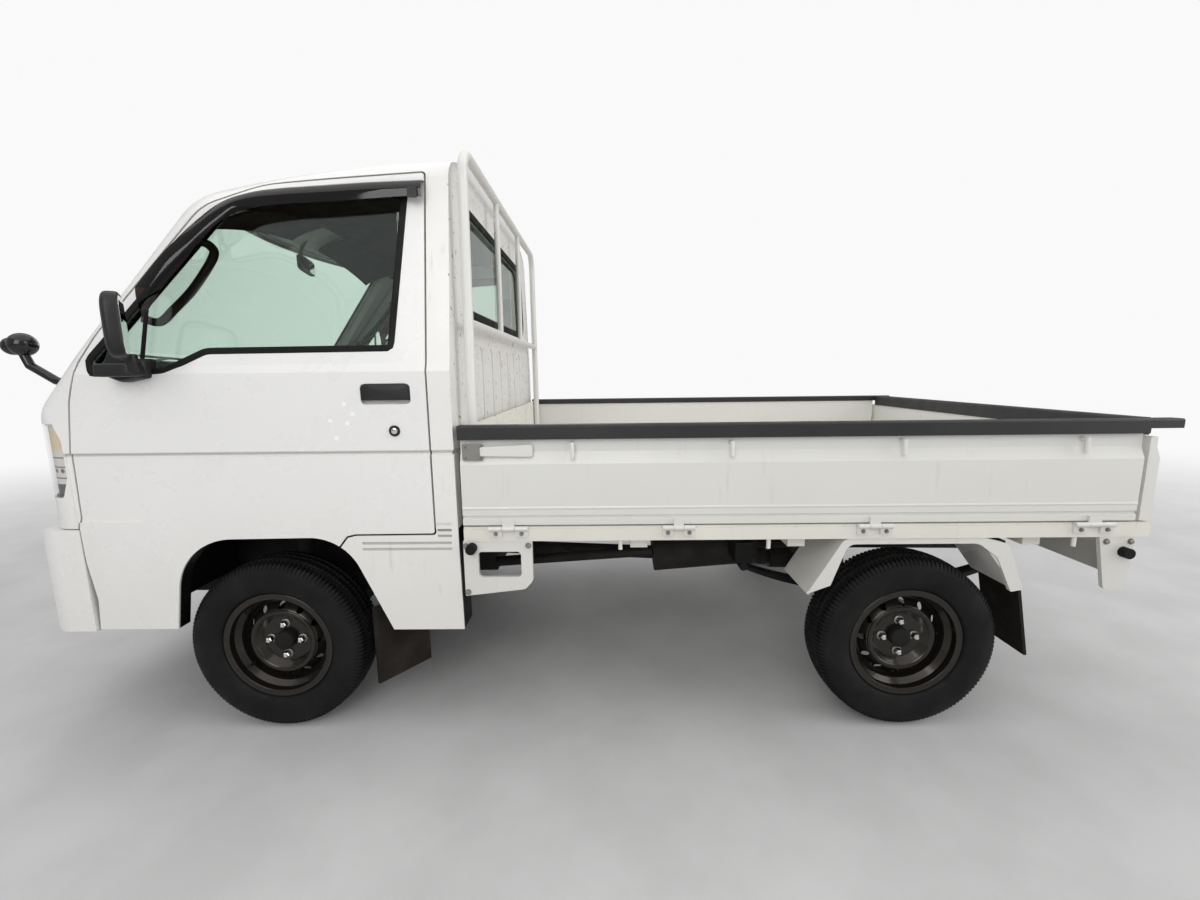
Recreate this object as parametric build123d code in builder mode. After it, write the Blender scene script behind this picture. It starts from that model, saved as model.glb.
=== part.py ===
from build123d import *
import math
import os

os.makedirs("parts", exist_ok=True)

# Kei truck: a small forward-control truck with a two-seat cab and a drop-sided bed.
# Millimetres. +X is forward, +Y is the truck's left, +Z is up. The origin is on the
# ground under the middle of the truck's length.

# Driving sizes of the whole truck
LENGTH = 3395
BODY_WIDTH = 1474
WHEELBASE = 1900
TRACK = 1305
FRONT_OVERHANG = 815
SHUT_GAP = 5.5

# Places worked out from them. Side outlines are drawn with x measured forward from
# the front axle, and z from the ground.
FRONT_X = LENGTH / 2 - FRONT_OVERHANG
REAR_X = FRONT_X - WHEELBASE
HALF_BODY = BODY_WIDTH / 2
WHEEL_Y = TRACK / 2
SIDE_VIEW = Plane((FRONT_X, 0, 0), x_dir=(1, 0, 0), z_dir=(0, -1, 0))
PLAN_VIEW = Plane((FRONT_X, 0, 0))
FRONT_VIEW = Plane((FRONT_X, 0, 0), x_dir=(0, 1, 0), z_dir=(1, 0, 0))

# Wheels and tyres
TYRE_RADIUS = 268
TYRE_WIDTH = 145
RIM_RADIUS = 168
RIM_SEAT_RADIUS = 152
RIM_HALF_WIDTH = 54
HUB_Z = TYRE_RADIUS

# Cab
CAB_REAR = -580
CAB_BOTTOM = 300
ROOF_Z = 1776
WALL = 45
CROWN_RADIUS = 1800
CORNER_RADIUS = 85
ROOF_RADIUS = 3400
ROOF_TURN = 11.7
HEADER_RADIUS = 300
HEADER_TURN = 37.8
SCREEN_LENGTH = 647.5
NOSE_RADIUS = 240
NOSE_TURN = 90 - ROOF_TURN - HEADER_TURN
CORE_DEPTH = 220
GLASS = 5
COWL_Z = 1112
PRESS_DEPTH = 5
LENS_THICKNESS = 4

# Load bed
BED_FRONT = -596
BED_REAR = -2545
DECK_Z = 648
DECK_THICKNESS = 44
GATE_TOP = 912
TAIL_TOP = 888
COVER_TOP = 938
GATE_INNER_Y = 705
GATE_HINGE_Y = 745
GATE_HINGE_Z = 643


def side_slab(outline, radii, y_low, y_high, grow=0, mode=Mode.ADD):
    """A side outline of (x, z) corners, extruded between two Y planes."""
    with BuildSketch(SIDE_VIEW.offset(-y_high)) as face:
        with BuildLine():
            FilletPolyline(*outline, radius=radii, close=True)
        make_face()
        if grow:
            offset(amount=grow, kind=Kind.INTERSECTION, mode=Mode.REPLACE)
    extrude(face.sketch, amount=y_high - y_low, mode=mode)


def front_slab(outline, radii, x_low, x_high, grow=0, mode=Mode.ADD):
    """A front outline of (y, z) corners, extruded between two X planes."""
    with BuildSketch(FRONT_VIEW.offset(x_low)) as face:
        with BuildLine():
            FilletPolyline(*outline, radius=radii, close=True)
        make_face()
        if grow:
            offset(amount=grow, kind=Kind.INTERSECTION, mode=Mode.REPLACE)
    extrude(face.sketch, amount=x_high - x_low, mode=mode)


def block(x_range, y_range, z_range, mode=Mode.ADD):
    """A plain block between two values along each axis, x from the front axle."""
    corner = (FRONT_X + x_range[0], y_range[0], z_range[0])
    size = [high - low for low, high in (x_range, y_range, z_range)]
    with Locations(corner):
        Box(*size, align=(Align.MIN, Align.MIN, Align.MIN), mode=mode)


def rod(start, finish, radius, mode=Mode.ADD):
    """A round bar between two points, x from the front axle."""
    a = Vector(*start) + Vector(FRONT_X, 0, 0)
    b = Vector(*finish) + Vector(FRONT_X, 0, 0)
    with BuildSketch(Plane(a, z_dir=b - a)) as section:
        Circle(radius)
    extrude(section.sketch, amount=(b - a).length, mode=mode)


def mirrored(half):
    """A front outline from its left half: up the left side, down the right."""
    return half + [(-y, z) for y, z in reversed(half)]


def save(part, name):
    part.label = name
    export_step(part, f"parts/{name}.step")


def roof_chain(inset):
    """Centre line from the roof's rear over the screen to the nose, as tangent arcs."""
    roof_z = ROOF_Z - inset
    rear = Line((CAB_REAR - 120, roof_z), (CAB_REAR, roof_z))
    roof = JernArc(rear @ 1, rear % 1, ROOF_RADIUS - inset, -ROOF_TURN)
    header = JernArc(roof @ 1, roof % 1, HEADER_RADIUS - inset, -HEADER_TURN)
    screen = PolarLine(header @ 1, SCREEN_LENGTH, direction=header % 1)
    nose = JernArc(screen @ 1, screen % 1, NOSE_RADIUS - inset, -NOSE_TURN)
    front = Line(nose @ 1, ((nose @ 1).X, CAB_BOTTOM))
    return rear @ 0, front @ 1


def cab_form(inset, belt=(737, 1060), eaves=(601, 1900), belt_radius=1200):
    """The closed outer form of the cab with every face drawn in by the inset."""
    half = 760
    crown = CROWN_RADIUS - inset
    top = ROOF_Z - inset
    edge = top - crown + math.sqrt(crown * crown - half * half)
    floor = ROOF_Z - CORE_DEPTH - 12
    with BuildPart() as form:
        with BuildLine(mode=Mode.PRIVATE) as path:
            roof_chain(inset)
        with BuildSketch(FRONT_VIEW.offset(CAB_REAR - 120)):
            with BuildLine():
                ThreePointArc((-half, edge), (0, top), (half, edge))
                Polyline((half, edge), (half, floor), (-half, floor), (-half, edge))
            make_face()
        sweep(path=SIDE_VIEW.from_local_coords(path.line))
        with BuildSketch(SIDE_VIEW.offset(-half)):
            with BuildLine():
                first, last = roof_chain(CORE_DEPTH)
                Polyline(last, (first.X, CAB_BOTTOM), first)
            make_face()
        extrude(amount=2 * half)
        walls = [(726, CAB_BOTTOM - inset), (737, 640), belt, eaves]
        radii = [0, 5000, belt_radius, 0]
        both = walls + [(-y, z) for y, z in reversed(walls)]
        with BuildSketch(FRONT_VIEW.offset(CAB_REAR + inset)):
            with BuildLine():
                FilletPolyline(*both, radius=radii + radii[::-1], close=True)
            make_face()
            if inset:
                offset(amount=-inset, kind=Kind.INTERSECTION, mode=Mode.REPLACE)
        extrude(amount=1500, mode=Mode.INTERSECT)
        rim = form.edges().filter_by(
            lambda edge: abs(edge.center().Y) > 500
            and edge.center().X > FRONT_X + CAB_REAR + inset + 1
            and edge.center().Z > CAB_BOTTOM + 1
            and abs(edge.tangent_at(0.5).X) < 0.99999
        )
        fillet(rim, CORNER_RADIUS - inset)
    return form.part


# The doors stand out a little below the belt: this prism draws the side in above it
BELT = [(780, 200), (780, 1088), (737.5, 1088), (728.6, COWL_Z), (601, 1900)]
with BuildPart() as shouldered:
    add(cab_form(0, belt=(737, COWL_Z), eaves=(597, 1900), belt_radius=300))
    front_slab(mirrored(BELT), [0, 0, 2, 8, 0] + [0, 8, 2, 0, 0], -800, 1000,
               mode=Mode.INTERSECT)
cab_outer = shouldered.part
cab_inner = cab_form(WALL)
press_floor = cab_form(PRESS_DEPTH)
lamp_back = cab_form(WALL - LENS_THICKNESS)
glass_outer = cab_form(14)
glass_inner = cab_form(14 + GLASS)
visor_outer = cab_form(-16)
visor_under = cab_form(-12)

# Side outlines on the cab, (x, z) from the front axle, and their corner radii
DOOR = [
    (516, 335), (505, 429), (517, 543), (517, 653), (509, 683), (505, 869), (484, 1013),
    (452, 1120), (400, 1200), (105, 1547), (-60, 1606), (-512, 1630), (-512, 629),
    (-283, 628), (-257, 622), (-228, 586), (-123, 335),
]
DOOR_RADII = [4, 60, 30, 6, 6, 80, 80, 80, 200, 150, 300, 8, 6, 6, 6, 0, 0]
ARCH = [(290, 250), (282, 326), (230, 614), (-246, 619), (-375, 318), (-375, 250)]
ARCH_RADII = [0, 0, 180, 150, 0, 0]
SIDE_WINDOW = [
    (-418, 1152), (-460, 1582), (40, 1562), (425, 1128), (415, 1092), (215, 1095), (95, 1150),
]
SIDE_WINDOW_RADII = [12, 15, 110, 15, 10, 60, 60]
VISOR = [
    (-521, 1594), (-115, 1580), (41, 1530), (372, 1214), (324, 1168), (88, 1459),
    (-19, 1530), (-480, 1552), (-521, 1548),
]
VISOR_RADII = [4, 300, 90, 10, 10, 150, 90, 0, 4]

# Front outlines of the glazed openings, left half as (y, z) corners
SCREEN = [(632, COWL_Z + 22), (560, 1602)]
REAR_WINDOW = [(540, 1268), (490, 1580)]

# Pressings in the cab's skin: the panel that the crease runs into, the short and long
# ribs behind and below the door, and the stiffening ribs of the back wall
PRESS = [
    (524, 869), (-640, 869), (-640, 857), (62, 857), (97, 826), (146, 778), (289, 682),
    (334, 669), (524, 669),
]
PRESS_RADII = [0, 0, 0, 40, 60, 60, 40, 20, 0]
SHORT_RIBS = (656, 638, 621)
LONG_RIBS = (600, 582)
BACK_RIBS = (-375, -225, -75, 75, 225, 375)
with BuildPart() as pressings:
    for low, high in ((640, 800), (-800, -640)):
        side_slab(PRESS, PRESS_RADII, low, high)
        for z in SHORT_RIBS:
            side_slab([(-562, z - 4), (-562, z + 4), (-520, z + 4), (-520, z - 4)],
                      [3, 3, 3, 3], low, high)
        for z in LONG_RIBS:
            side_slab([(-560, z - 4), (-560, z + 4), (-300, z + 4), (-300, z - 4)],
                      [3, 3, 3, 3], low, high)
    for y in BACK_RIBS:
        front_slab([(y - 32, 690), (y - 32, 1172), (y + 32, 1172), (y + 32, 690)],
                   [28, 28, 28, 28], -640, -560)
    add(press_floor, mode=Mode.SUBTRACT)


with BuildPart() as cab_wall:
    add(cab_outer)
    add(cab_inner, mode=Mode.SUBTRACT)
    block((-700, 900), (-800, 800), (CAB_BOTTOM - 20, CAB_BOTTOM + 30), Mode.SUBTRACT)
    side_slab(ARCH, ARCH_RADII, -800, 800, mode=Mode.SUBTRACT)
    front_slab(mirrored(SCREEN), [40, 60, 60, 40], 100, 900, mode=Mode.SUBTRACT)
    front_slab(mirrored(REAR_WINDOW), [60, 60, 60, 60], -700, -500, mode=Mode.SUBTRACT)
    add(pressings.part, mode=Mode.SUBTRACT)
wall_all = cab_wall.part

with BuildPart() as fixed:
    add(wall_all)
    for low, high in ((480, 800), (-800, -480)):
        side_slab(DOOR, DOOR_RADII, low, high, grow=SHUT_GAP, mode=Mode.SUBTRACT)
        block((-225, 516), (low, high), (250, 640), Mode.SUBTRACT)
fixed_wall = fixed.part


def keep(x_range, z_range, source):
    """The stretch of a wall inside a range of x and z."""
    with BuildPart() as stretch:
        add(source)
        block(x_range, (-800, 800), z_range, Mode.INTERSECT)
    return stretch.part


# Cab: roof with its pillars, back wall with the rear quarters, and nose panel
with BuildPart() as roof:
    add(keep((-470, 900), (COWL_Z, 1800), fixed_wall))
    add(keep((-700, -470), (1640, 1800), fixed_wall))
save(roof.part, "cab_roof")

with BuildPart() as cab_back:
    add(keep((-700, -470), (CAB_BOTTOM, 1640), fixed_wall))
    add(keep((-470, 200), (CAB_BOTTOM, 630), fixed_wall))
    block((-700, 300), (-640, 640), (CAB_BOTTOM - 10, 668), Mode.SUBTRACT)
save(cab_back.part, "cab_back")


# Headlamps fill the nose corners: front outline (y, z) and the side line behind them
LAMP_FRONT = [(500, 752), (470, 800), (490, 905), (560, 948), (760, 955), (760, 740)]
LAMP_SIDE = [(548, 960), (528, 905), (528, 800), (548, 742), (900, 742), (900, 960)]
nose_wall = keep((200, 900), (650, COWL_Z), fixed_wall)


def lamp_prism(shrink):
    """Both lamps' openings as prisms through the nose, drawn in by the shrink."""
    with BuildPart() as prism:
        for side in (1, -1):
            front_slab([(side * y, z) for y, z in LAMP_FRONT], [20, 30, 40, 40, 0, 0],
                       200, 900, grow=-shrink)
        side_slab(LAMP_SIDE, [10, 30, 30, 10, 0, 0], -800, 800, grow=-shrink,
                  mode=Mode.INTERSECT)
    return prism.part


with BuildPart() as lamp_block:
    add(nose_wall)
    add(lamp_prism(0), mode=Mode.INTERSECT)
with BuildPart() as headlamps:
    add(lamp_block.part)
    add(press_floor, mode=Mode.SUBTRACT)
save(headlamps.part, "headlamps")

with BuildPart() as lamp_hollow:
    add(press_floor)
    add(lamp_back, mode=Mode.SUBTRACT)
    add(lamp_prism(LENS_THICKNESS), mode=Mode.INTERSECT)
with BuildPart() as housings:
    add(lamp_block.part)
    add(headlamps.part, mode=Mode.SUBTRACT)
    add(lamp_hollow.part, mode=Mode.SUBTRACT)
save(housings.part, "headlamp_housings")

with BuildPart() as front_panel:
    add(nose_wall)
    add(lamp_block.part, mode=Mode.SUBTRACT)
    for row in range(2):
        with Locations((FRONT_X + 700, 0, 690 + 26 * row)):
            Box(300, 560 - 60 * row, 12, mode=Mode.SUBTRACT)
save(front_panel.part, "front_panel")

# Front bumper: a bowed bar with a bulged section, its ends meeting the doors
BUMPER_BOW = 1800
BUMPER_SECTION = [
    (300, 332), (800, 332), (812, 350), (796, 405), (803, 450), (815, 520), (815, 600),
    (798, 646), (300, 646),
]
BUMPER_RADII = [0, 14, 20, 60, 60, 60, 60, 20, 0]


def bumper_form(inset):
    """The closed form of the bumper with its faces drawn in by the inset."""
    axis_x = FRONT_X + FRONT_OVERHANG - BUMPER_BOW
    low = 332 if inset == 0 else 300
    high = 646 if inset == 0 else 660
    rows = [(x - inset if x > 400 else x, z) for x, z in BUMPER_SECTION]
    rows[0] = (300, low)
    rows[1] = (800 - inset, low)
    rows[-2] = (798 - inset, high)
    rows[-1] = (300, high)
    half = HALF_BODY - inset - 2
    bow = BUMPER_BOW - inset
    corner_x = math.sqrt(bow * bow - half * half) + axis_x - FRONT_X
    turned = Plane((axis_x, 0, 0)).rotated((0, 0, -35))
    with BuildPart() as form:
        with BuildSketch(Plane(turned.origin, x_dir=turned.x_dir, z_dir=-turned.y_dir)):
            with BuildLine():
                base = FRONT_X - axis_x
                FilletPolyline(
                    *[(base + x, z) for x, z in rows], radius=BUMPER_RADII, close=True
                )
            make_face()
        revolve(axis=Axis((axis_x, 0, 0), (0, 0, 1)), revolution_arc=70)
        with BuildSketch(PLAN_VIEW.offset(290)) as plan:
            with BuildLine():
                ThreePointArc((corner_x, half), (FRONT_OVERHANG - inset, 0), (corner_x, -half))
                Polyline((corner_x, -half), (522, -half), (522, half), (corner_x, half))
            make_face()
            fillet(plan.vertices().filter_by(lambda v: v.X > 540), 90 - inset)
        extrude(amount=400, mode=Mode.INTERSECT)
    return form.part


with BuildPart() as bumper:
    add(bumper_form(0))
    add(bumper_form(40), mode=Mode.SUBTRACT)
    with Locations((FRONT_X + 750, 0, 455)):
        Box(300, 760, 62, mode=Mode.SUBTRACT)
    with Locations((FRONT_X + 750, 0, 375)):
        Box(300, 620, 26, mode=Mode.SUBTRACT)
save(bumper.part, "front_bumper")

# Windscreen and rear window, seated in their openings
for name, outline, radii, x_low, x_high in (
    ("windscreen", SCREEN, [40, 60, 60, 40], 100, 900),
    ("rear_window", REAR_WINDOW, [60, 60, 60, 60], -700, -500),
):
    with BuildPart() as pane:
        add(glass_outer)
        add(glass_inner, mode=Mode.SUBTRACT)
        front_slab(mirrored(outline), radii, x_low, x_high, mode=Mode.INTERSECT)
    save(pane.part, name)

# Doors, their window glass, smoked visors and black fittings
POCKET = [(-469, 1000), (-469, 1056), (-331, 1056), (-331, 1000)]
POCKET_FLOOR = 719
PULL = [(-469, 1056), (-469, 1028), (-331, 1028), (-331, 1056)]
LOCK = (-419, 926)
MIRROR_FOOT = [(248, 1078), (246, 1112), (316, 1174), (356, 1106), (350, 1078)]
MIRROR_ARM = [(262, 745), (330, 745), (322, 768), (262, 806), (224, 806), (226, 778)]
MIRROR_HEAD = [(228, 770), (155, 900), (176, 912), (212, 892), (251, 823), (245, 780)]
for name, side in (("left", 1), ("right", -1)):
    low, high = sorted((side * 480, side * 800))
    with BuildPart() as door:
        add(wall_all)
        side_slab(DOOR, DOOR_RADII, low, high, mode=Mode.INTERSECT)
        side_slab(SIDE_WINDOW, SIDE_WINDOW_RADII, low, high, mode=Mode.SUBTRACT)
    with BuildPart() as glass:
        add(glass_outer)
        add(glass_inner, mode=Mode.SUBTRACT)
        side_slab(SIDE_WINDOW, SIDE_WINDOW_RADII, low, high, mode=Mode.INTERSECT)
    save(glass.part, f"door_glass_{name}")

    with BuildPart() as skin:
        add(door.part)
        side_slab(POCKET, [12, 12, 12, 12], *sorted((side * POCKET_FLOOR, side * 800)),
                  mode=Mode.SUBTRACT)
    save(skin.part, f"door_{name}")

    with BuildPart() as fittings:
        side_slab(MIRROR_FOOT, [12, 10, 10, 10, 12],
                  *sorted((side * 700, side * (HALF_BODY + 14))))
        rod((LOCK[0], side * (HALF_BODY - 6), LOCK[1]),
            (LOCK[0], side * (HALF_BODY + 4), LOCK[1]), 10)
        add(cab_outer, mode=Mode.SUBTRACT)
        side_slab(PULL, [12, 4, 4, 12], *sorted((side * 729, side * 739)))
        with BuildSketch(PLAN_VIEW.offset(1082)) as arm:
            with BuildLine():
                FilletPolyline(
                    *[(x, side * y) for x, y in MIRROR_ARM], radius=[0, 0, 12, 14, 14, 10],
                    close=True,
                )
            make_face()
        extrude(arm.sketch, amount=34)
        rod((238, side * 791, 1100), (238, side * 791, 1140), 13)
    with BuildPart() as head:
        with BuildSketch(PLAN_VIEW.offset(1124)):
            with BuildLine():
                FilletPolyline(
                    *[(x, side * y) for x, y in MIRROR_HEAD], radius=[5, 5, 9, 26, 26, 9],
                    close=True,
                )
            make_face()
        extrude(amount=166)
        front_slab([(side * 764, 1124), (side * 764, 1290), (side * 916, 1290),
                    (side * 916, 1124)], [26, 26, 34, 34], 100, 300, mode=Mode.INTERSECT)
    with BuildPart() as fitted:
        add(fittings.part)
        add(head.part)
    save(fitted.part, f"door_fittings_{name}")

    with BuildPart() as lip:
        add(visor_outer)
        add(cab_outer, mode=Mode.SUBTRACT)
        side_slab(VISOR, VISOR_RADII, low, high, mode=Mode.INTERSECT)
        lowered = [(x - 9, z - 11) for x, z in VISOR]
        side_slab(lowered, VISOR_RADII, low, high, mode=Mode.SUBTRACT)
    with BuildPart() as visor:
        add(visor_outer)
        add(visor_under, mode=Mode.SUBTRACT)
        side_slab(VISOR, VISOR_RADII, low, high, mode=Mode.INTERSECT)
        add(lip.part)
    save(visor.part, f"door_visor_{name}")

# Cab floor: footwell, riser, seat platform and the inner walls of the wheelhouses
PLATFORM_Z = 700
FLOOR_HALF = 668
with BuildPart() as cab_floor:
    side_slab(
        [(700, 430), (345, 430), (345, PLATFORM_Z), (-535, PLATFORM_Z), (-535, 670),
         (315, 670), (315, 400), (700, 400)],
        [0, 20, 20, 0, 0, 10, 10, 0], -FLOOR_HALF, FLOOR_HALF,
    )
    for side in (1, -1):
        block((-300, 315), sorted((side * 405, side * 417)), (430, 670))
    block((-535, -523), (-FLOOR_HALF, FLOOR_HALF), (530, 670))
    add(cab_inner, mode=Mode.INTERSECT)
save(cab_floor.part, "cab_floor")

# Dashboard with its steering column, bowed to the screen in front of it
WHEEL_CENTRE = (250, -300, 1010)
COLUMN_TILT = 50
with BuildPart() as dashboard:
    side_slab(
        [(700, 1078), (640, 1098), (470, 1082), (418, 1040), (430, 900), (500, 860),
         (700, 850)],
        [0, 30, 60, 30, 30, 40, 0], -640, 640,
    )
    add(cab_inner, mode=Mode.INTERSECT)
    column = (math.cos(math.radians(COLUMN_TILT)), 0, -math.sin(math.radians(COLUMN_TILT)))
    near = [c + 42 * d for c, d in zip(WHEEL_CENTRE, column)]
    far = [c + 330 * d for c, d in zip(WHEEL_CENTRE, column)]
    rod(near, far, 32)
    rod(far, [c + 700 * d for c, d in zip(WHEEL_CENTRE, column)], 14)
    block((395, 480), (-345, -255), (800, 920))
save(dashboard.part, "dashboard")

wheel_axis = Plane(
    Vector(FRONT_X + WHEEL_CENTRE[0], WHEEL_CENTRE[1], WHEEL_CENTRE[2]),
    x_dir=(0, 1, 0),
    z_dir=(-column[0], 0, -column[2]),
)
with BuildPart() as steering_wheel:
    with BuildSketch(Plane(wheel_axis.origin, x_dir=(0, 1, 0), z_dir=wheel_axis.y_dir)):
        with Locations((175, 0)):
            Circle(13)
    revolve(axis=Axis(wheel_axis.origin, wheel_axis.z_dir))
    with BuildSketch(wheel_axis.offset(-36)):
        Circle(45)
    extrude(amount=30)
    with BuildSketch(wheel_axis.offset(-22)):
        for turn in (-15, 90, 195):
            with Locations(Rotation(0, 0, turn)):
                with Locations((100, 0)):
                    Rectangle(150, 26)
    extrude(amount=14)
save(steering_wheel.part, "steering_wheel")

# Seats: cushion and backrest with a fixed headrest, one each side
for name, y in (("left", 300), ("right", -300)):
    with BuildPart() as seat:
        side_slab(
            [(95, 702), (110, 806), (-330, 772), (-392, 1290), (-470, 1290), (-500, 1100),
             (-440, 702)],
            [20, 50, 30, 30, 30, 60, 20], y - 225, y + 225,
        )
    save(seat.part, f"seat_{name}")

# Cab fittings: interior mirror on its stalk and grab handles on the screen pillars
with BuildPart() as cab_fittings:
    with Locations(Location((FRONT_X + 205, 0, 1524), (0, 0, 15))):
        Box(16, 190, 58)
    rod((208, 0, 1535), (185, 0, 1660), 9)
    for side in (1, -1):
        y = side * 600
        rod((235, side * 640, 1490), (126, y, 1440), 13)
        rod((126, y, 1440), (290, y, 1243), 13)
        rod((290, y, 1243), (425, side * 652, 1250), 13)
        for bend in ((126, y, 1440), (290, y, 1243)):
            with Locations((FRONT_X + bend[0], bend[1], bend[2])):
                Sphere(13)
    add(cab_inner, mode=Mode.INTERSECT)
save(cab_fittings.part, "cab_fittings")

# Small mirror on the nose for seeing the front corner, and the wipers
with BuildPart() as under_mirror:
    rod((585, 600, 1052), (650, 610, 1075), 12)
    rod((650, 610, 1075), (712, 618, 1120), 12)
    rod((712, 618, 1120), (730, 620, 1172), 12)
    for bend in ((650, 610, 1075), (712, 618, 1120)):
        with Locations((FRONT_X + bend[0], bend[1], bend[2])):
            Sphere(12)
    with Locations((FRONT_X + 722, 620, 1182)):
        Sphere(34)
    with Locations((FRONT_X + 752, 620, 1178)):
        Sphere(26)
    add(cab_outer, mode=Mode.SUBTRACT)
save(under_mirror.part, "under_mirror")

with BuildPart() as wipers:
    for pivot, heel, tip in (
        ((640, 330, 1096), (645, 350, 1142), (672, 0, 1155)),
        ((670, -160, 1096), (676, -140, 1142), (582, -490, 1155)),
    ):
        rod(pivot, heel, 11)
        rod(heel, tip, 6)
    add(cab_outer, mode=Mode.SUBTRACT)
save(wipers.part, "wipers")

# Chassis: two box rails that step up behind the cab, tied by cross tubes
RAIL = [
    (690, 312), (-420, 312), (-640, 490), (-2480, 490), (-2480, 570), (-615, 570),
    (-395, 392), (690, 392),
]
with BuildPart() as chassis_frame:
    for side in (1, -1):
        side_slab(RAIL, [0, 60, 60, 0, 0, 60, 60, 0], *sorted((side * 350, side * 400)))
    for x, z in ((650, 352), (-620, 530), (-1000, 530), (-1480, 530), (-2260, 530),
                 (-2440, 530)):
        rod((x, -352, z), (x, 352, z), 24)
    for side in (1, -1):
        y_range = sorted((side * 350, side * 450))
        for x in (-1480, -2340):
            block((x - 30, x + 30), y_range, (420, 495))
save(chassis_frame.part, "chassis_frame")

# Engine under the seats, one plain block at its place, with the gearbox behind it
with BuildPart() as engine_block:
    block((-330, 60), (-215, 215), (245, 610))
    block((-545, -330), (-110, 110), (265, 420))
save(engine_block.part, "engine_block")

with BuildPart() as fuel_tank:
    with Locations((FRONT_X - 1130, -560, 455)):
        Box(520, 240, 200)
    fillet(fuel_tank.edges().filter_by(Axis.X), 40)
save(fuel_tank.part, "fuel_tank")

with BuildPart() as exhaust:
    rod((-560, 180, 330), (-1180, 260, 400), 20)
    rod((-1180, 260, 400), (-1560, 260, 430), 75)
    rod((-1560, 260, 430), (-2400, 260, 420), 18)
save(exhaust.part, "exhaust")

# Steering axes lean in at the top, from the lower ball joint to the strut's top
BALL = (0, 572, 166)
STRUT_TOP = (0, 501, 660)
SPINDLE_RADIUS = 14
BACKING_RADIUS = 97


def toward(low, high, z):
    """The point at height z on the line from low to high."""
    share = (z - low[2]) / (high[2] - low[2])
    return tuple(a + share * (b - a) for a, b in zip(low, high))


def spindle(x, side, inner_y):
    """A wheel's spindle with the brake's backing plate, added to the part being built."""
    rod((x, side * inner_y, HUB_Z), (x, side * (WHEEL_Y + 10), HUB_Z), SPINDLE_RADIUS)
    rod((x, side * (WHEEL_Y - 54), HUB_Z), (x, side * (WHEEL_Y - 50), HUB_Z), BACKING_RADIUS)


for name, side in (("left", 1), ("right", -1)):
    ball, top = [(x, side * y, z) for x, y, z in (BALL, STRUT_TOP)]
    with BuildPart() as knuckle:
        rod(toward(ball, top, 172), toward(ball, top, 400), 20)
        rod(toward(ball, top, 330), toward(ball, top, 640), 25)
        rod(toward(ball, top, 548), toward(ball, top, 554), 46)
        rod(toward(ball, top, 634), toward(ball, top, 654), 46)
        spindle(0, side, 555)
    save(knuckle.part, f"knuckle_{name}")

with BuildPart() as front_suspension:
    block((-45, 45), (-400, 400), (190, 240))
    for side in (1, -1):
        block((-45, 45), sorted((side * 350, side * 400)), (240, 312))
        with BuildSketch(PLAN_VIEW.offset(150)) as arm:
            with BuildLine():
                FilletPolyline(
                    (-70, side * 330), (70, side * 330), (24, side * 594), (-24, side * 594),
                    radius=[20, 20, 22, 22], close=True,
                )
            make_face()
        extrude(arm.sketch, amount=12)
        block((-40, 40), sorted((side * 335, side * 395)), (150, 190))
    rod((110, -300, 262), (110, 300, 262), 22)
    for side in (1, -1):
        block((45, 120), sorted((side * 250, side * 280)), (205, 262))
save(front_suspension.part, "front_suspension")

# Rear axle on two leaf springs
REAR_SHIFT = -WHEELBASE
SPRING_Y = 425
with BuildPart() as rear_axle:
    rod((REAR_SHIFT, -596, HUB_Z), (REAR_SHIFT, 596, HUB_Z), 36)
    rod((REAR_SHIFT, -62, HUB_Z), (REAR_SHIFT, 62, HUB_Z), 112)
    rod((REAR_SHIFT, 0, HUB_Z), (REAR_SHIFT + 190, 0, 275), 45)
    for side in (1, -1):
        spindle(REAR_SHIFT, side, 590)
        block((REAR_SHIFT - 55, REAR_SHIFT + 55),
              sorted((side * (SPRING_Y - 28), side * (SPRING_Y + 28))), (280, 310))
save(rear_axle.part, "rear_axle")

with BuildPart() as propshaft:
    rod((-552, 0, 330), (REAR_SHIFT + 192, 0, 276), 28)
save(propshaft.part, "propshaft")

LEAF_ENDS = (-1480, -2340)
with BuildPart() as leaf_springs:
    for side in (1, -1):
        with BuildSketch(SIDE_VIEW.offset(-side * SPRING_Y - 22)) as leaves:
            with BuildLine():
                bottom = ThreePointArc((-1480, 400), (REAR_SHIFT, 311), (-2340, 400))
                topside = ThreePointArc((-1480, 412), (REAR_SHIFT, 335), (-2340, 412))
                Line(bottom @ 0, topside @ 0)
                Line(bottom @ 1, topside @ 1)
            make_face()
        extrude(leaves.sketch, amount=44)
        for x in LEAF_ENDS:
            low_y, high_y = sorted((side * (SPRING_Y - 22), side * (SPRING_Y + 22)))
            rod((x, low_y, 406), (x, high_y, 406), 14)
save(leaf_springs.part, "leaf_springs")

# Wheels. Sections are (radius, distance out from the tyre's centre plane).
BARREL = [
    (168, 54), (168, 50), (154, 47), (152, 33), (139, 22), (139, -22), (152, -34),
    (154, -47), (168, -50), (168, -54), (149, -51), (148, -36), (135, -24), (135, 20),
    (148, 34), (149, 51),
]
DISC = [
    (136.5, 2), (124, 6), (105, 25), (97, 30), (89, 27), (72, 9), (29, 9), (29, 4.5),
    (74, 4.5), (91, 22), (97, 25), (102, 21), (121, 1), (136.5, -4),
]
HUB = [
    (0, 28), (24, 28), (29.5, 22), (29.5, 4), (62, 4.6), (62, -6), (97, -6), (97, -48),
    (92, -48), (92, -12), (32, -12), (32, -44), (14.06, -44), (14.06, 12), (0, 12),
]
TYRE = [
    (154.3, 46), (168.5, 49), (169, 56), (180, 65), (200, 72), (232, 71), (254, 62),
    (268, 40),
]
VENT_COUNT = 12
VENT_CIRCLE = 113
NUT_CIRCLE = 50


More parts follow.
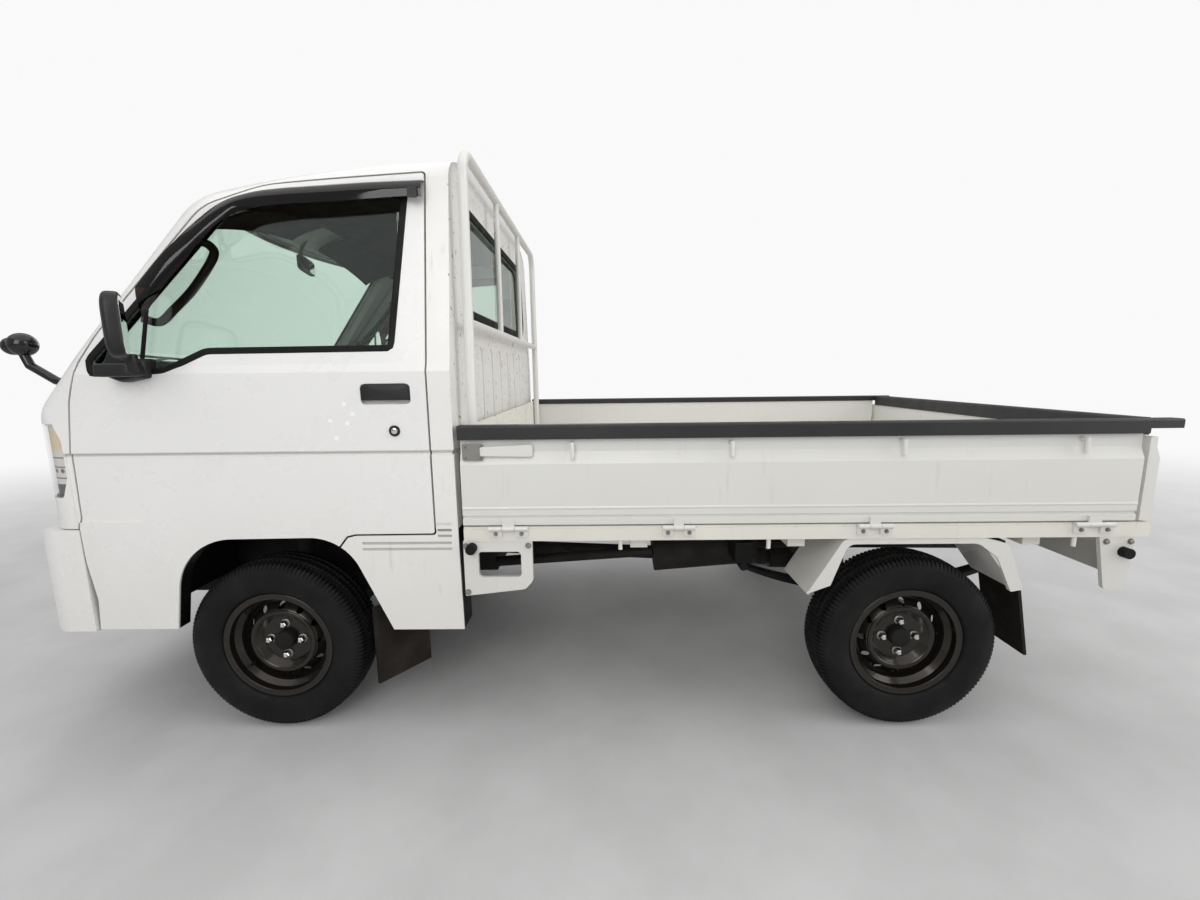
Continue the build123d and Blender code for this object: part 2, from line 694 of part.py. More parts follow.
def wheel_plane(x, side):
    """A plane whose x is the radius upward and whose y points out from the truck."""
    centre = (FRONT_X + x, side * WHEEL_Y, HUB_Z)
    return Plane(centre, x_dir=(0, 0, 1), z_dir=(-side, 0, 0))


def turned(plane, rows, mode=Mode.ADD):
    """A section revolved about the wheel's axis into the part being built."""
    with BuildSketch(plane) as section:
        with BuildLine():
            Polyline(*rows, close=True)
        make_face()
    revolve(section.sketch, axis=Axis(plane.origin, (0, 1, 0)), mode=mode)


for name, x, side in (
    ("front_left", 0, 1), ("front_right", 0, -1),
    ("rear_left", REAR_SHIFT, 1), ("rear_right", REAR_SHIFT, -1),
):
    plane = wheel_plane(x, side)
    outward = Plane(plane.origin, x_dir=(0, 0, 1), z_dir=(0, side, 0))
    with BuildPart() as rim:
        turned(plane, BARREL)
        turned(plane, DISC)
        with BuildSketch(outward.offset(-10)):
            with PolarLocations(VENT_CIRCLE, VENT_COUNT):
                Circle(10)
        extrude(amount=50, mode=Mode.SUBTRACT)
        turned(plane, HUB)
        with BuildSketch(outward.offset(8)):
            with PolarLocations(NUT_CIRCLE, 4):
                RegularPolygon(10, 6)
        extrude(amount=15)
    save(rim.part, f"rim_{name}")
    with BuildPart() as tyre:
        turned(plane, TYRE + [(radius, -out) for radius, out in reversed(TYRE)])
    save(tyre.part, f"tyre_{name}")

# Bed: deck sheet on side sills and cross bearers, with a front board and brackets
HALF_DECK = 737
SILL_BOTTOM = 604
BEARERS = (-650, -1100, -1560, -2240, -2460)
PEGS = (-1045, -1470, -2335)
with BuildPart() as bed_floor:
    block((BED_REAR + 12, BED_FRONT), (-733, 733), (636, DECK_Z - 2))
    for side in (1, -1):
        block((BED_REAR + 8, BED_FRONT), sorted((side * 690, side * HALF_DECK)),
              (SILL_BOTTOM, 640))
    for x in BEARERS:
        block((x - 25, x + 25), (-700, 700), (570, 640))
    block((BED_FRONT - 8, BED_FRONT - 2), (-698, 698), (640, 930))
    for y in range(-600, 601, 150):
        block((BED_REAR + 60, BED_FRONT - 40), (y - 22, y + 22), (DECK_Z - 3, DECK_Z + 3))
    for side in (1, -1):
        for x in PEGS:
            rod((x, side * 728, 606), (x, side * 728, 575), 6)
save(bed_floor.part, "bed_floor")

with BuildPart() as bed_brackets:
    for side in (1, -1):
        inner, outer = sorted((side * 723, side * 735))
        side_slab(
            [(-592, 438), (-592, 604), (-791, 604), (-791, 484), (-768, 458)],
            [4, 0, 0, 20, 20], inner, outer,
        )
        side_slab(
            [(-634, 495), (-634, 572), (-758, 572), (-758, 495)],
            [12, 12, 12, 12], inner, outer, mode=Mode.SUBTRACT,
        )
        side_slab(
            [(-2400, 604), (-2430, 446), (-2490, 446), (-2500, 604)],
            [0, 14, 14, 0], inner, outer,
        )
save(bed_brackets.part, "bed_brackets")

# Side gates: pressed section (y outward, z), hinged along the sills
GATE_SECTION = [
    (705, 652), (705, GATE_TOP), (724, GATE_TOP), (724, 862), (737, 828), (737, 706),
    (739, 701), (737, 696), (737, 680), (732, 677), (732, 672), (737, 669), (737, 652),
]
GATE_END = -2490
SIDE_HINGES = ((-671, -782), (-1165, -1256), (-1714, -1811), (-2318, -2428))
HOOKS = (-912, -1355, -1827, -2321)
BARREL_RADIUS = 7
HINGE_LEAF = [(736, 653), (736, 668), (745, 668), (745, 643), (740, 643), (740, 653)]
for name, side in (("left", 1), ("right", -1)):
    with BuildPart() as gate:
        with BuildSketch(FRONT_VIEW.offset(GATE_END)):
            with BuildLine():
                Polyline(*[(side * y, z) for y, z in GATE_SECTION], close=True)
            make_face()
        extrude(amount=BED_FRONT - GATE_END)
        block((-660, -606), sorted((side * 722, side * 738)), (842, 886))
        side_slab([(-655, 853), (-655, 878), (-801, 884), (-801, 850)], [4, 4, 6, 6],
                  *sorted((side * 727, side * 742)))
        for x in HOOKS:
            rod((x, side * 722, 884), (x, side * 750, 884), 6)
            rod((x, side * 746, 888), (x, side * 746, 846), 6)
        for front, rear in SIDE_HINGES:
            third = (front - rear) / 3
            front_slab([(side * y, z) for y, z in HINGE_LEAF], [0, 0, 0, 0, 0, 0],
                       rear + third + 1, front - third - 1)
            rod((rear + third + 1, side * GATE_HINGE_Y, GATE_HINGE_Z),
                (front - third - 1, side * GATE_HINGE_Y, GATE_HINGE_Z), BARREL_RADIUS)
    save(gate.part, f"side_gate_{name}")
    with BuildPart() as cover:
        block((BED_REAR - 35, BED_FRONT + 4), sorted((side * 700, side * 741)),
              (GATE_TOP, COVER_TOP))
        block((GATE_END - 2, BED_FRONT + 4), sorted((side * 725, side * 741)),
              (898, GATE_TOP))
        fillet(cover.edges().filter_by(Axis.X).group_by(Axis.Z)[-1], 6)
    save(cover.part, f"gate_cover_{name}")

with BuildPart() as sill_hinges:
    for side in (1, -1):
        for front, rear in SIDE_HINGES:
            third = (front - rear) / 3
            for low, high in ((rear, rear + third), (front - third, front)):
                block((low, high), sorted((side * 737, side * (GATE_HINGE_Y - 1))),
                      (618, GATE_HINGE_Z - 2))
                rod((low, side * GATE_HINGE_Y, GATE_HINGE_Z),
                    (high, side * GATE_HINGE_Y, GATE_HINGE_Z), BARREL_RADIUS)

# Tailgate, as high as the side gates' covers allow, hinged along the bed's rear
TAIL_HINGES = (-480, 0, 480)
TAIL_SECTION = [
    (-2500, 652), (-2500, TAIL_TOP), (-2519, TAIL_TOP), (-2519, 862), (-2532, 828), (-2532, 706),
    (-2534, 701), (-2532, 696), (-2532, 680), (-2532, 652),
]
with BuildPart() as tailgate:
    with BuildSketch(SIDE_VIEW.offset(-HALF_DECK)):
        with BuildLine():
            Polyline(*TAIL_SECTION, close=True)
        make_face()
    extrude(amount=2 * HALF_DECK)
    for y in TAIL_HINGES:
        side_slab([(-2531, 653), (-2531, 668), (-2545, 668), (-2545, 643), (-2540, 643),
                   (-2540, 653)], [0, 0, 0, 0, 0, 0], y - 15, y + 15)
        rod((BED_REAR, y - 15, GATE_HINGE_Z), (BED_REAR, y + 15, GATE_HINGE_Z), BARREL_RADIUS)
save(tailgate.part, "tailgate")

with BuildPart() as tail_cover:
    block((-2541, -2496), (-692, 692), (TAIL_TOP, COVER_TOP))
    fillet(tail_cover.edges().filter_by(Axis.Y).group_by(Axis.Z)[-1], 6)
save(tail_cover.part, "tailgate_cover")

# Rear panel below the deck with its lamps, and the tailgate's fixed hinge knuckles
with BuildPart() as rear_panel:
    block((-2530, -2500), (-700, 700), (470, 604))
    for side in (1, -1):
        block((-2500, -2480), sorted((side * 350, side * 400)), (500, 560))
    for side in (1, -1):
        block((-2530, -2520), sorted((side * 500, side * 690)), (484, 590), Mode.SUBTRACT)
save(rear_panel.part, "rear_panel")

with BuildPart() as tail_lamps:
    for side in (1, -1):
        block((-2538, -2520), sorted((side * 502, side * 688)), (486, 588))
save(tail_lamps.part, "tail_lamps")

with BuildPart() as bed_hinges:
    add(sill_hinges.part)
    for y in TAIL_HINGES:
        for low, high in ((y - 50, y - 16), (y + 16, y + 50)):
            block((BED_REAR + 1, -2537), (low, high), (618, GATE_HINGE_Z - 2))
            rod((BED_REAR, low, GATE_HINGE_Z), (BED_REAR, high, GATE_HINGE_Z), BARREL_RADIUS)
save(bed_hinges.part, "bed_hinges")

# Guard frame behind the cab: a bent tube with a middle rail and two bars
with BuildPart() as guard_frame:
    frame_x = -620
    with BuildLine(mode=Mode.PRIVATE) as bend:
        FilletPolyline((-680, 646.6), (-648, 1690), (648, 1690), (680, 646.6), radius=[70, 70])
    route = FRONT_VIEW.offset(frame_x).from_local_coords(bend.line)
    with BuildSketch(Plane(route @ 0, z_dir=route % 0)):
        Circle(14)
    sweep(path=route)
    rod((frame_x, -662, 1222), (frame_x, 662, 1222), 13)
    for y in (-217, 217):
        rod((frame_x, y, 1222), (frame_x, y, 1690), 10)
save(guard_frame.part, "guard_frame")

# Rear fenders over the wheels, the four mudflaps and the gates' rubber bumpers
FLANGE = [
    (-1585, 437), (-1686, 603), (-2080, 603), (-2150, 584), (-2206, 446), (-2170, 440),
    (-2122, 545), (-2066, 586), (-1697, 586), (-1652, 462),
]
with BuildPart() as rear_fenders:
    for side in (1, -1):
        side_slab(FLANGE, [4, 30, 60, 30, 4, 4, 40, 40, 30, 4],
                  *sorted((side * 720, side * 733)))
        side_slab(
            [(-1585, 437), (-1686, 603), (-2080, 603), (-2200, 446), (-2190, 440),
             (-2074, 594), (-1690, 594), (-1593, 432)],
            [0, 30, 30, 0, 0, 24, 24, 0], *sorted((side * 545, side * 728)),
        )
save(rear_fenders.part, "rear_fenders")

FRONT_FLAP = [(-303, 716), (-411, 572), (-419, 578), (-311, 722)]
with BuildPart() as mudflaps:
    for side in (1, -1):
        side_slab([(-2196, 470), (-2205, 470), (-2250, 235), (-2241, 235)], [0, 0, 0, 0],
                  *sorted((side * 560, side * 720)))
        with BuildSketch(PLAN_VIEW.offset(150)) as front_flap:
            with BuildLine():
                Polyline(*[(x, side * y) for x, y in FRONT_FLAP], close=True)
            make_face()
        extrude(front_flap.sketch, amount=245)
        with BuildPart(mode=Mode.PRIVATE) as hanger:
            block((-402, -376), sorted((side * 606, side * 720)), (340, 395))
            add(cab_inner, mode=Mode.INTERSECT)
        add(hanger.part)
save(mudflaps.part, "mudflaps")

with BuildPart() as gate_bumpers:
    for side in (1, -1):
        for x, z in ((-618, 585), (-2470, 560)):
            rod((x, side * 735, z), (x, side * 757, z), 15)
save(gate_bumpers.part, "gate_bumpers")
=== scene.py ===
# %% [markdown]
# # A kei truck, dressed
# The solids of the truck come from its CAD model, already in place and in metres: +X forward,
# +Y to the truck's left, +Z up, the ground at Z 0. This lesson gives them paint, rubber, glass
# and cloth, and adds what a solid leaves out: tread, seals, seats, wipers, lamps and fastenings.

# %% Load the frame
import math

import bpy
import numpy as np
from mathutils import Matrix, Vector


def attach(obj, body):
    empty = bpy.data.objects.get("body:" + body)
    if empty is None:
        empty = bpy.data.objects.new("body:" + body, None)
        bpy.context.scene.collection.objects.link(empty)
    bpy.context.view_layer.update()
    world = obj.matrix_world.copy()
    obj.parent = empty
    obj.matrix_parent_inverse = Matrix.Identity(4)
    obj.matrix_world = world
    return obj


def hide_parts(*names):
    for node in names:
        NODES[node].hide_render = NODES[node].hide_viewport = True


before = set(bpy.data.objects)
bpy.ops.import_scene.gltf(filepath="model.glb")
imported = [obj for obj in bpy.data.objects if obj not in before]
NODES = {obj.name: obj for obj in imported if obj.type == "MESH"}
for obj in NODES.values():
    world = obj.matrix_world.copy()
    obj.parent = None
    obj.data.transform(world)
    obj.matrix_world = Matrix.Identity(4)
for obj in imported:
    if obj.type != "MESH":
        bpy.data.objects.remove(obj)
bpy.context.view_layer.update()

# %% [markdown]
# Sizes are written in millimetres, with x measured forward from the front axle, because that is
# how the truck's own drawings run. One helper turns such points into metres in the frame.

# %% Places
FRONT_AXLE_X = 882.5
WHEELBASE = 1900
WHEEL_Y = 652.5
HUB_Z = 268
SIDES = (("left", 1), ("right", -1))
WHEELS = [(f"{end}_{name}", x, side)
          for end, x in (("front", 0), ("rear", -WHEELBASE)) for name, side in SIDES]


def metres(points):
    """Points (x, y, z) in mm with x from the front axle, as metres in the frame."""
    points = np.asarray(points, dtype=float)
    return (points + (FRONT_AXLE_X, 0, 0)) / 1000


print("front hubs in metres:", metres([(0, side * WHEEL_Y, HUB_Z) for _, side in SIDES]).tolist())

# %% [markdown]
# Almost every new piece is a grid of points: two parameters, one position for each pair. It
# could be pushed and pulled by hand in edit mode, but a formula gives the same piece each time,
# and its sizes can be read. The grid is worked out as one array, and neighbours are joined into
# four-sided faces. A closed grid encloses a volume, and its sign tells which way the faces point.

# %% From a grid of points to a piece
def rows_of_faces(rows, columns, wrap_rows, wrap_columns):
    """Quads (i, j), (i, j+1), (i+1, j+1), (i+1, j) for every cell of a grid, wrapped or not."""
    i = np.arange(rows if wrap_rows else rows - 1)
    j = np.arange(columns if wrap_columns else columns - 1)
    i, j = (part.ravel() for part in np.meshgrid(i, j, indexing="ij"))
    down, across = (i + 1) % rows, (j + 1) % columns
    return np.stack(
        [i * columns + j, i * columns + across, down * columns + across, down * columns + j], 1
    )


def outward(points, faces):
    """The faces turned round where the closed surface they make has a negative volume."""
    a, b, c, d = (points[faces[:, k]] - points.mean(0) for k in range(4))
    volume = (np.cross(a, b) * c).sum() + (np.cross(a, c) * d).sum()
    return faces if volume > 0 else faces[:, ::-1]


def mesh_piece(name, points, faces, body, finish, smooth=35):
    """One object from points in metres and four-sided faces, riding on a body."""
    mesh = bpy.data.meshes.new(name)
    mesh.vertices.add(len(points))
    mesh.vertices.foreach_set("co", points.ravel())
    mesh.loops.add(faces.size)
    mesh.loops.foreach_set("vertex_index", faces.ravel())
    mesh.polygons.add(len(faces))
    mesh.polygons.foreach_set("loop_start", np.arange(0, faces.size, 4))
    mesh.update(calc_edges=True)
    mesh.validate()
    mesh.polygons.foreach_set("use_smooth", np.ones(len(mesh.polygons), dtype=bool))
    mesh.set_sharp_from_angle(angle=math.radians(smooth))
    mesh.materials.append(finish)
    made = bpy.data.objects.new(name, mesh)
    bpy.context.scene.collection.objects.link(made)
    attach(made, body)
    print(f"{name}: {len(faces)} faces on {body}")
    return made


def piece(name, grids, body, finish, smooth=35):
    """One object from several closed grids. A grid is (points in mm, wrap_rows, wrap_columns)."""
    points, faces, start = [], [], 0
    for grid, wrap_rows, wrap_columns in grids:
        rows, columns = grid.shape[:2]
        flat = grid.reshape(-1, 3)
        faces.append(outward(flat, rows_of_faces(rows, columns, wrap_rows, wrap_columns)) + start)
        points.append(metres(flat))
        start += len(flat)
    return mesh_piece(
        name, np.concatenate(points), np.concatenate(faces), body, finish, smooth
    )


# %% [markdown]
# A tube, a seal or a moulding is a section carried along a path. Blender's curves with a bevel
# object do the same, but here the guide says how the section stands, so that a flat seal stays
# flat on its pane. At each point of the path the section stands square to it, on two directions:
# one towards the guide, one across.

# %% Paths
def smooth_path(corners, count, closed=False):
    """Catmull-Rom curve through the corners: p = half the cubic blend of four neighbours."""
    corners = np.asarray(corners, dtype=float)
    n = len(corners)
    spans = n if closed else n - 1
    t = np.linspace(0, spans, count, endpoint=not closed)
    k = np.minimum(t.astype(int), spans - 1)
    f = (t - k)[:, None]
    index = [(k + o) % n if closed else np.clip(k + o, 0, n - 1) for o in (-1, 0, 1, 2)]
    a, b, c, d = (corners[row] for row in index)
    if not closed:
        a = np.where((k == 0)[:, None], 2 * b - c, a)
        d = np.where((k == spans - 1)[:, None], 2 * c - b, d)
    return 0.5 * (
        2 * b + (c - a) * f + (2 * a - 5 * b + 4 * c - d) * f**2 + (3 * b - a - 3 * c + d) * f**3
    )


def rounded(corners, radii, steps=7):
    """A closed outline with each corner rounded by an arc of its radius, as an array."""
    corners = np.asarray(corners, dtype=float)
    before, after = np.roll(corners, 1, 0) - corners, np.roll(corners, -1, 0) - corners
    before /= np.linalg.norm(before, axis=1, keepdims=True)
    after /= np.linalg.norm(after, axis=1, keepdims=True)
    half = np.arccos(np.clip((before * after).sum(1), -1, 1)) / 2
    radii = np.maximum(np.asarray(radii, dtype=float), 1)
    reach = radii / np.tan(half)
    middle = before + after
    middle /= np.linalg.norm(middle, axis=1, keepdims=True)
    centre = corners + middle * (radii / np.sin(half))[:, None]
    start, end = corners + before * reach[:, None], corners + after * reach[:, None]
    share = np.linspace(0, 1, steps)[None, :, None]
    arc = start[:, None] * (1 - share) + end[:, None] * share - centre[:, None]
    arc *= radii[:, None, None] / np.linalg.norm(arc, axis=2, keepdims=True)
    return (centre[:, None] + arc).reshape(-1, 2)


def travelled(line):
    """The distance along a path at each of its points."""
    return np.r_[0, np.cumsum(np.linalg.norm(np.diff(line, axis=0), axis=1))]


def measured(line, count, closed=False):
    """That many points at equal distances along a path."""
    length = travelled(line)
    stops = np.linspace(0, length[-1], count, endpoint=not closed)
    return np.stack([np.interp(stops, length, line[:, k]) for k in range(line.shape[1])], 1)


def even(path, spacing, closed=True):
    """The path measured out again at about that spacing."""
    line = np.vstack([path, path[:1]]) if closed else path
    return measured(line, max(int(travelled(line)[-1] / spacing), 4), closed)


def straight(corners, spacing):
    """An open path of straight runs through the corners, with points at about that spacing."""
    return even(np.array(corners, dtype=float), spacing, closed=False)


print("a quarter circle of radius 10 in a corner:", rounded([(0, 0), (40, 0), (40, 40), (0, 40)],
                                                            [10] * 4, 3)[:3].round(1).tolist())


# %% Sections carried along a path
def carried(path, section, guide, closed=False):
    """The section (across, out) at every point of the path: p + across * side + out * up,
    where side = tangent x guide and up = side x tangent, all of unit length."""
    tangent = (np.roll(path, -1, 0) - np.roll(path, 1, 0)) if closed else np.gradient(path, axis=0)
    tangent /= np.linalg.norm(tangent, axis=1, keepdims=True)
    side = np.cross(tangent, np.broadcast_to(guide, path.shape))
    side /= np.linalg.norm(side, axis=1, keepdims=True)
    up = np.cross(side, tangent)
    section = np.asarray(section, dtype=float)
    return path[:, None] + section[None, :, :1] * side[:, None] + section[None, :, 1:] * up[:, None]


def ring(radius, count=14):
    """A round section of that radius."""
    turn = np.linspace(0, 2 * np.pi, count, endpoint=False)
    return np.stack([radius * np.cos(turn), radius * np.sin(turn)], 1)


def bar(path, radius, guide=(0, 0, 1), count=14, ends=True):
    """A round bar along an open path: a carried ring, drawn to its centre at both ends."""
    path = np.asarray(path, dtype=float)
    body = carried(path, ring(1, count), guide)
    scale = np.broadcast_to(radius, (len(path),)).astype(float)
    body = path[:, None] + (body - path[:, None]) * scale[:, None, None]
    if ends:
        caps = [np.repeat(path[k][None, None], count, 1) for k in (0, -1)]
        body = np.concatenate([caps[0], body, caps[1]])
    return (body, False, True)


print("a bar through three points:", bar([(0, 0, 0), (5, 0, 0), (9, 3, 0)], 2)[0].shape[:2])


# %% Sheets, plates and turned pieces
def sheet(grid, offset):
    """A closed plate: the grid on one face, the grid less the offset on the other."""
    other = grid - np.asarray(offset, dtype=float)
    middle = (grid + other) / 2
    faces = np.concatenate([grid, other[:, ::-1]], 1)
    ends = np.concatenate([middle, middle[:, ::-1]], 1)
    return (np.concatenate([ends[:1], faces, ends[-1:]]), False, True)


def plate(outline, thickness):
    """A flat plate: a closed outline, the same moved by the thickness, fans to their middles."""
    outline = np.asarray(outline, dtype=float)
    moved = outline + np.asarray(thickness, dtype=float)
    fans = [np.broadcast_to(edge.mean(0), edge.shape) for edge in (outline, moved)]
    return (np.stack([fans[0], outline, moved, fans[1]]), False, True)


def side_plate(corners, radii, y, depth):
    """A plate facing sideways: rounded (x, z) corners at y, with its depth along y."""
    line = rounded(corners, radii)
    return plate(np.stack([line[:, 0], np.full(len(line), float(y)), line[:, 1]], 1), (0, depth, 0))


def rectangle(low, high):
    """Corners of a rectangle from its low and high corner."""
    return [(low[0], low[1]), (low[0], high[1]), (high[0], high[1]), (high[0], low[1])]


def turned(profile, centre, axis, count=48, wrap=False):
    """A profile (radius, along) turned round an axis through the centre."""
    axis = np.asarray(axis, dtype=float) / np.linalg.norm(axis)
    first = np.cross(axis, (0, 0, 1) if abs(axis[2]) < 0.9 else (1, 0, 0))
    first /= np.linalg.norm(first)
    second = np.cross(axis, first)
    turn = np.linspace(0, 2 * np.pi, count, endpoint=False)
    spoke = np.cos(turn)[:, None] * first + np.sin(turn)[:, None] * second
    profile = np.asarray(profile, dtype=float)
    points = (np.asarray(centre, dtype=float) + profile[:, None, :1] * spoke[None]
              + profile[:, None, 1:] * axis)
    return (points, wrap, True)


print("a disc of radius 5 has", turned([(0.1, 0), (5, 0)], (0, 0, 0), (0, 0, 1))[0].shape, "points")

# %% [markdown]
# ## Finishes
# Every finish is a Principled shader. What is the same all over is set on its own sockets; what
# varies, such as dust, scuffs or grain, is noise read in Object coordinates, so it stays where
# it is on the metal. Painted image maps would need every solid unwrapped, and these don't. The
# class below keeps the wiring out of sight: each method adds a node or two and hands on a value.

# %% A finish under construction
class Finish:
    """A Principled material with helpers for the patterns that dirty, wear or grain it."""

    def __init__(self, name, colour, roughness, **sockets):
        self.material = bpy.data.materials.new(name)
        self.material.use_nodes = True
        self.tree = self.material.node_tree
        self.shader = self.tree.nodes["Principled BSDF"]
        self.shader.inputs["Base Color"].default_value = (*colour, 1)
        self.shader.inputs["Roughness"].default_value = roughness
        for socket, value in sockets.items():
            self.shader.inputs[socket.replace("_", " ")].default_value = value
        self.colour = (*colour, 1)
        self.roughness = roughness
        self.place = self.node("ShaderNodeTexCoord").outputs["Object"]
        self.material.diffuse_color = (*colour, 1)

    def node(self, kind, **values):
        """A new node of that kind, with its settings."""
        made = self.tree.nodes.new(kind)
        for key, value in values.items():
            setattr(made, key, value)
        return made

    def feed(self, socket, value):
        """A socket set to a number or colour, or linked to another node's output."""
        if isinstance(value, (int, float, tuple)):
            socket.default_value = value
        else:
            self.tree.links.new(value, socket)

    def noise(self, scale, detail=4, stretch=(1, 1, 1), rough=0.55):
        """Fractal noise, finer with a larger scale, drawn out along an axis by a small stretch."""
        mapping = self.node("ShaderNodeMapping")
        mapping.inputs["Scale"].default_value = stretch
        self.feed(mapping.inputs["Vector"], self.place)
        made = self.node("ShaderNodeTexNoise")
        self.feed(made.inputs["Vector"], mapping.outputs[0])
        self.feed(made.inputs["Scale"], scale)
        self.feed(made.inputs["Detail"], detail)
        self.feed(made.inputs["Roughness"], rough)
        return made.outputs["Fac"]

    def along(self, axis):
        """The place along one axis, in metres."""
        split = self.node("ShaderNodeSeparateXYZ")
        self.feed(split.inputs[0], self.place)
        return split.outputs[axis]

    def ramp(self, value, low, high, to_low=0.0, to_high=1.0):
        """The value run from low..high on to to_low..to_high, smoothly and held at both ends."""
        made = self.node("ShaderNodeMapRange", interpolation_type="SMOOTHSTEP")
        for socket, number in zip(made.inputs[:5], (value, low, high, to_low, to_high)):
            self.feed(socket, number)
        return made.outputs[0]

    def maths(self, kind, a, b=0.0):
        """Two values put together by a Math node of that kind."""
        made = self.node("ShaderNodeMath", operation=kind)
        self.feed(made.inputs[0], a)
        self.feed(made.inputs[1], b)
        return made.outputs[0]

    def product(self, first, *others):
        """The values multiplied: where each is a mask, what they have in common."""
        for other in others:
            first = self.maths("MULTIPLY", first, other)
        return first

    def apart(self, value, level):
        """How far a value is from a level, on either side."""
        return self.maths("ABSOLUTE", self.maths("SUBTRACT", value, level))

    def far_from(self, spot, place=None):
        """How far the surface, or the place given, is from a spot in metres."""
        made = self.node("ShaderNodeVectorMath", operation="DISTANCE")
        self.feed(made.inputs[0], self.place if place is None else place)
        made.inputs[1].default_value = spot
        return made.outputs["Value"]

    def mix(self, share, a, b):
        """Colour a where the share is 0, b where it is 1."""
        made = self.node("ShaderNodeMix", data_type="RGBA")
        self.feed(made.inputs["Factor"], share)
        self.feed(made.inputs[6], a if not isinstance(a, tuple) or len(a) == 4 else (*a, 1))
        self.feed(made.inputs[7], b if not isinstance(b, tuple) or len(b) == 4 else (*b, 1))
        return made.outputs[2]

    def paint(self, colour):
        """The base colour, from a colour or a pattern."""
        self.feed(self.shader.inputs["Base Color"], colour)
        return self

    def gloss(self, value):
        """The roughness, from a number or a pattern."""
        self.feed(self.shader.inputs["Roughness"], value)
        return self

    def relief(self, height, depth, strength=1.0):
        """Bump from a height of 0 to 1, with the depth in metres."""
        made = self.node("ShaderNodeBump")
        self.feed(made.inputs["Height"], height)
        made.inputs["Distance"].default_value = depth
        made.inputs["Strength"].default_value = strength
        self.feed(self.shader.inputs["Normal"], made.outputs[0])
        return self


print("a finish can use", [name for name in vars(Finish) if not name.startswith("_")])

# %% [markdown]
# The body is plain white enamel with years of work behind it: a clear gloss, a thin film of dust
# that gathers low down, a few specks of rust where hands and washing don't reach, and a fine
# orange peel. The left door has five small chips, touched up in a whiter paint. The bed has the
# same enamel, rubbed duller. All of it is masks on one shader: a ramp turns a height, a place or
# a noise into a share from 0 to 1, and the share mixes the next colour in.

# %% The marks on the paint
DUST, SCUFF, RUST = (0.36, 0.32, 0.26), (0.30, 0.27, 0.22), (0.16, 0.055, 0.02)
# The second colour of this line is painted shade, laid along the crease in the cab's side.
TOUCH_UP, CREASE_SHADE, UNDERSEAL = (0.95, 0.95, 0.94), (0.28, 0.27, 0.25), (0.006, 0.006, 0.006)
OUTER_SKIN_Y = 0.690
CREASE_Z = 0.8665
SKIN_SLOPE, SKIN_FOOT_Y = 0.0324, 0.7093
SILL_Z, NOSE_X = 0.640, 1.376
COAT = 0.2
CHIPS = [(0.5995, 0.737, 1.002), (0.5775, 0.737, 0.974), (0.6415, 0.737, 0.956),
         (0.5945, 0.737, 0.949), (0.6285, 0.737, 0.907)]


def rusted(made, tone, amount, ends):
    """Specks of rust where fine noise peaks, inboard of the skin and behind x = ends."""
    outer = made.maths("ABSOLUTE", made.along(1))
    hidden = made.product(made.ramp(outer, OUTER_SKIN_Y, OUTER_SKIN_Y + 0.005, 0.8, 0),
                          made.ramp(made.along(0), ends, ends + 0.002, 1, 0))
    speck = made.ramp(made.noise(55, 2), 0.75 - 0.09 * amount, 0.79 - 0.09 * amount)
    return made.mix(made.product(speck, hidden), tone, RUST)


def marked(made, tone):
    """Painted shade along the crease of its side, and the cab's black underseal.

    The underseal covers what is inboard of the skin, |y| < slope z + foot, below the sill and
    behind the nose. It is matt, so it also takes the shine and the clear coat away.
    """
    outer = made.maths("ABSOLUTE", made.along(1))
    # Painted shade: a darker band within a few millimetres of the crease's height, on the outer
    # skin only, stands in for the shade of the pressed crease.
    crease = made.product(made.ramp(made.apart(made.along(2), CREASE_Z), 0.0035, 0.0065, 0.42, 0),
                          made.ramp(outer, 0.700, 0.705))
    tone = made.mix(crease, tone, CREASE_SHADE)
    skin = made.maths("ADD", made.maths("MULTIPLY", made.along(2), SKIN_SLOPE), SKIN_FOOT_Y)
    sealed = made.product(made.ramp(made.maths("SUBTRACT", outer, skin), 0.0, 0.003, 1, 0),
                          made.ramp(made.along(2), SILL_Z, SILL_Z + 0.004, 1, 0),
                          made.ramp(made.along(0), NOSE_X, NOSE_X + 0.004, 1, 0))
    made.feed(made.shader.inputs["Specular IOR Level"], made.ramp(sealed, 0, 1, 0.5, 0.1))
    made.feed(made.shader.inputs["Coat Weight"], made.ramp(sealed, 0, 1, COAT, 0))
    return made.mix(sealed, tone, UNDERSEAL)


print(len(CHIPS), "chips on the left door")


# %% White enamel for cab and bed
def enamel(name, colour, roughness, low_dirt, wear, grain=0.00006, rust=0.0, cab=False,
           rust_ends=9.0, chips=()):
    """White paint whose dust grows towards the ground, with scuffs where noise runs high."""
    made = Finish(name, colour, roughness, Coat_Weight=COAT, Coat_Roughness=0.08)
    film = made.product(made.ramp(made.along(2), 0.25, 0.95, 1, 0), made.noise(5, 6, (1, 1, 0.4)),
                        low_dirt)
    tone = made.mix(film, made.colour, DUST)
    streak = made.ramp(made.noise(38, 5, (1, 1, 0.12)), 0.60, 0.78, 0, wear)
    tone = rusted(made, made.mix(streak, tone, SCUFF), rust, rust_ends)
    for chip in chips:
        tone = made.mix(made.ramp(made.far_from(chip), 0.004, 0.008, 0.9, 0), tone, TOUCH_UP)
    made.paint(marked(made, tone) if cab else tone)
    made.gloss(made.ramp(made.noise(9, 5), 0.3, 0.75, roughness * 0.8, roughness * 1.5))
    made.relief(made.noise(260, 2), grain)
    return made.material


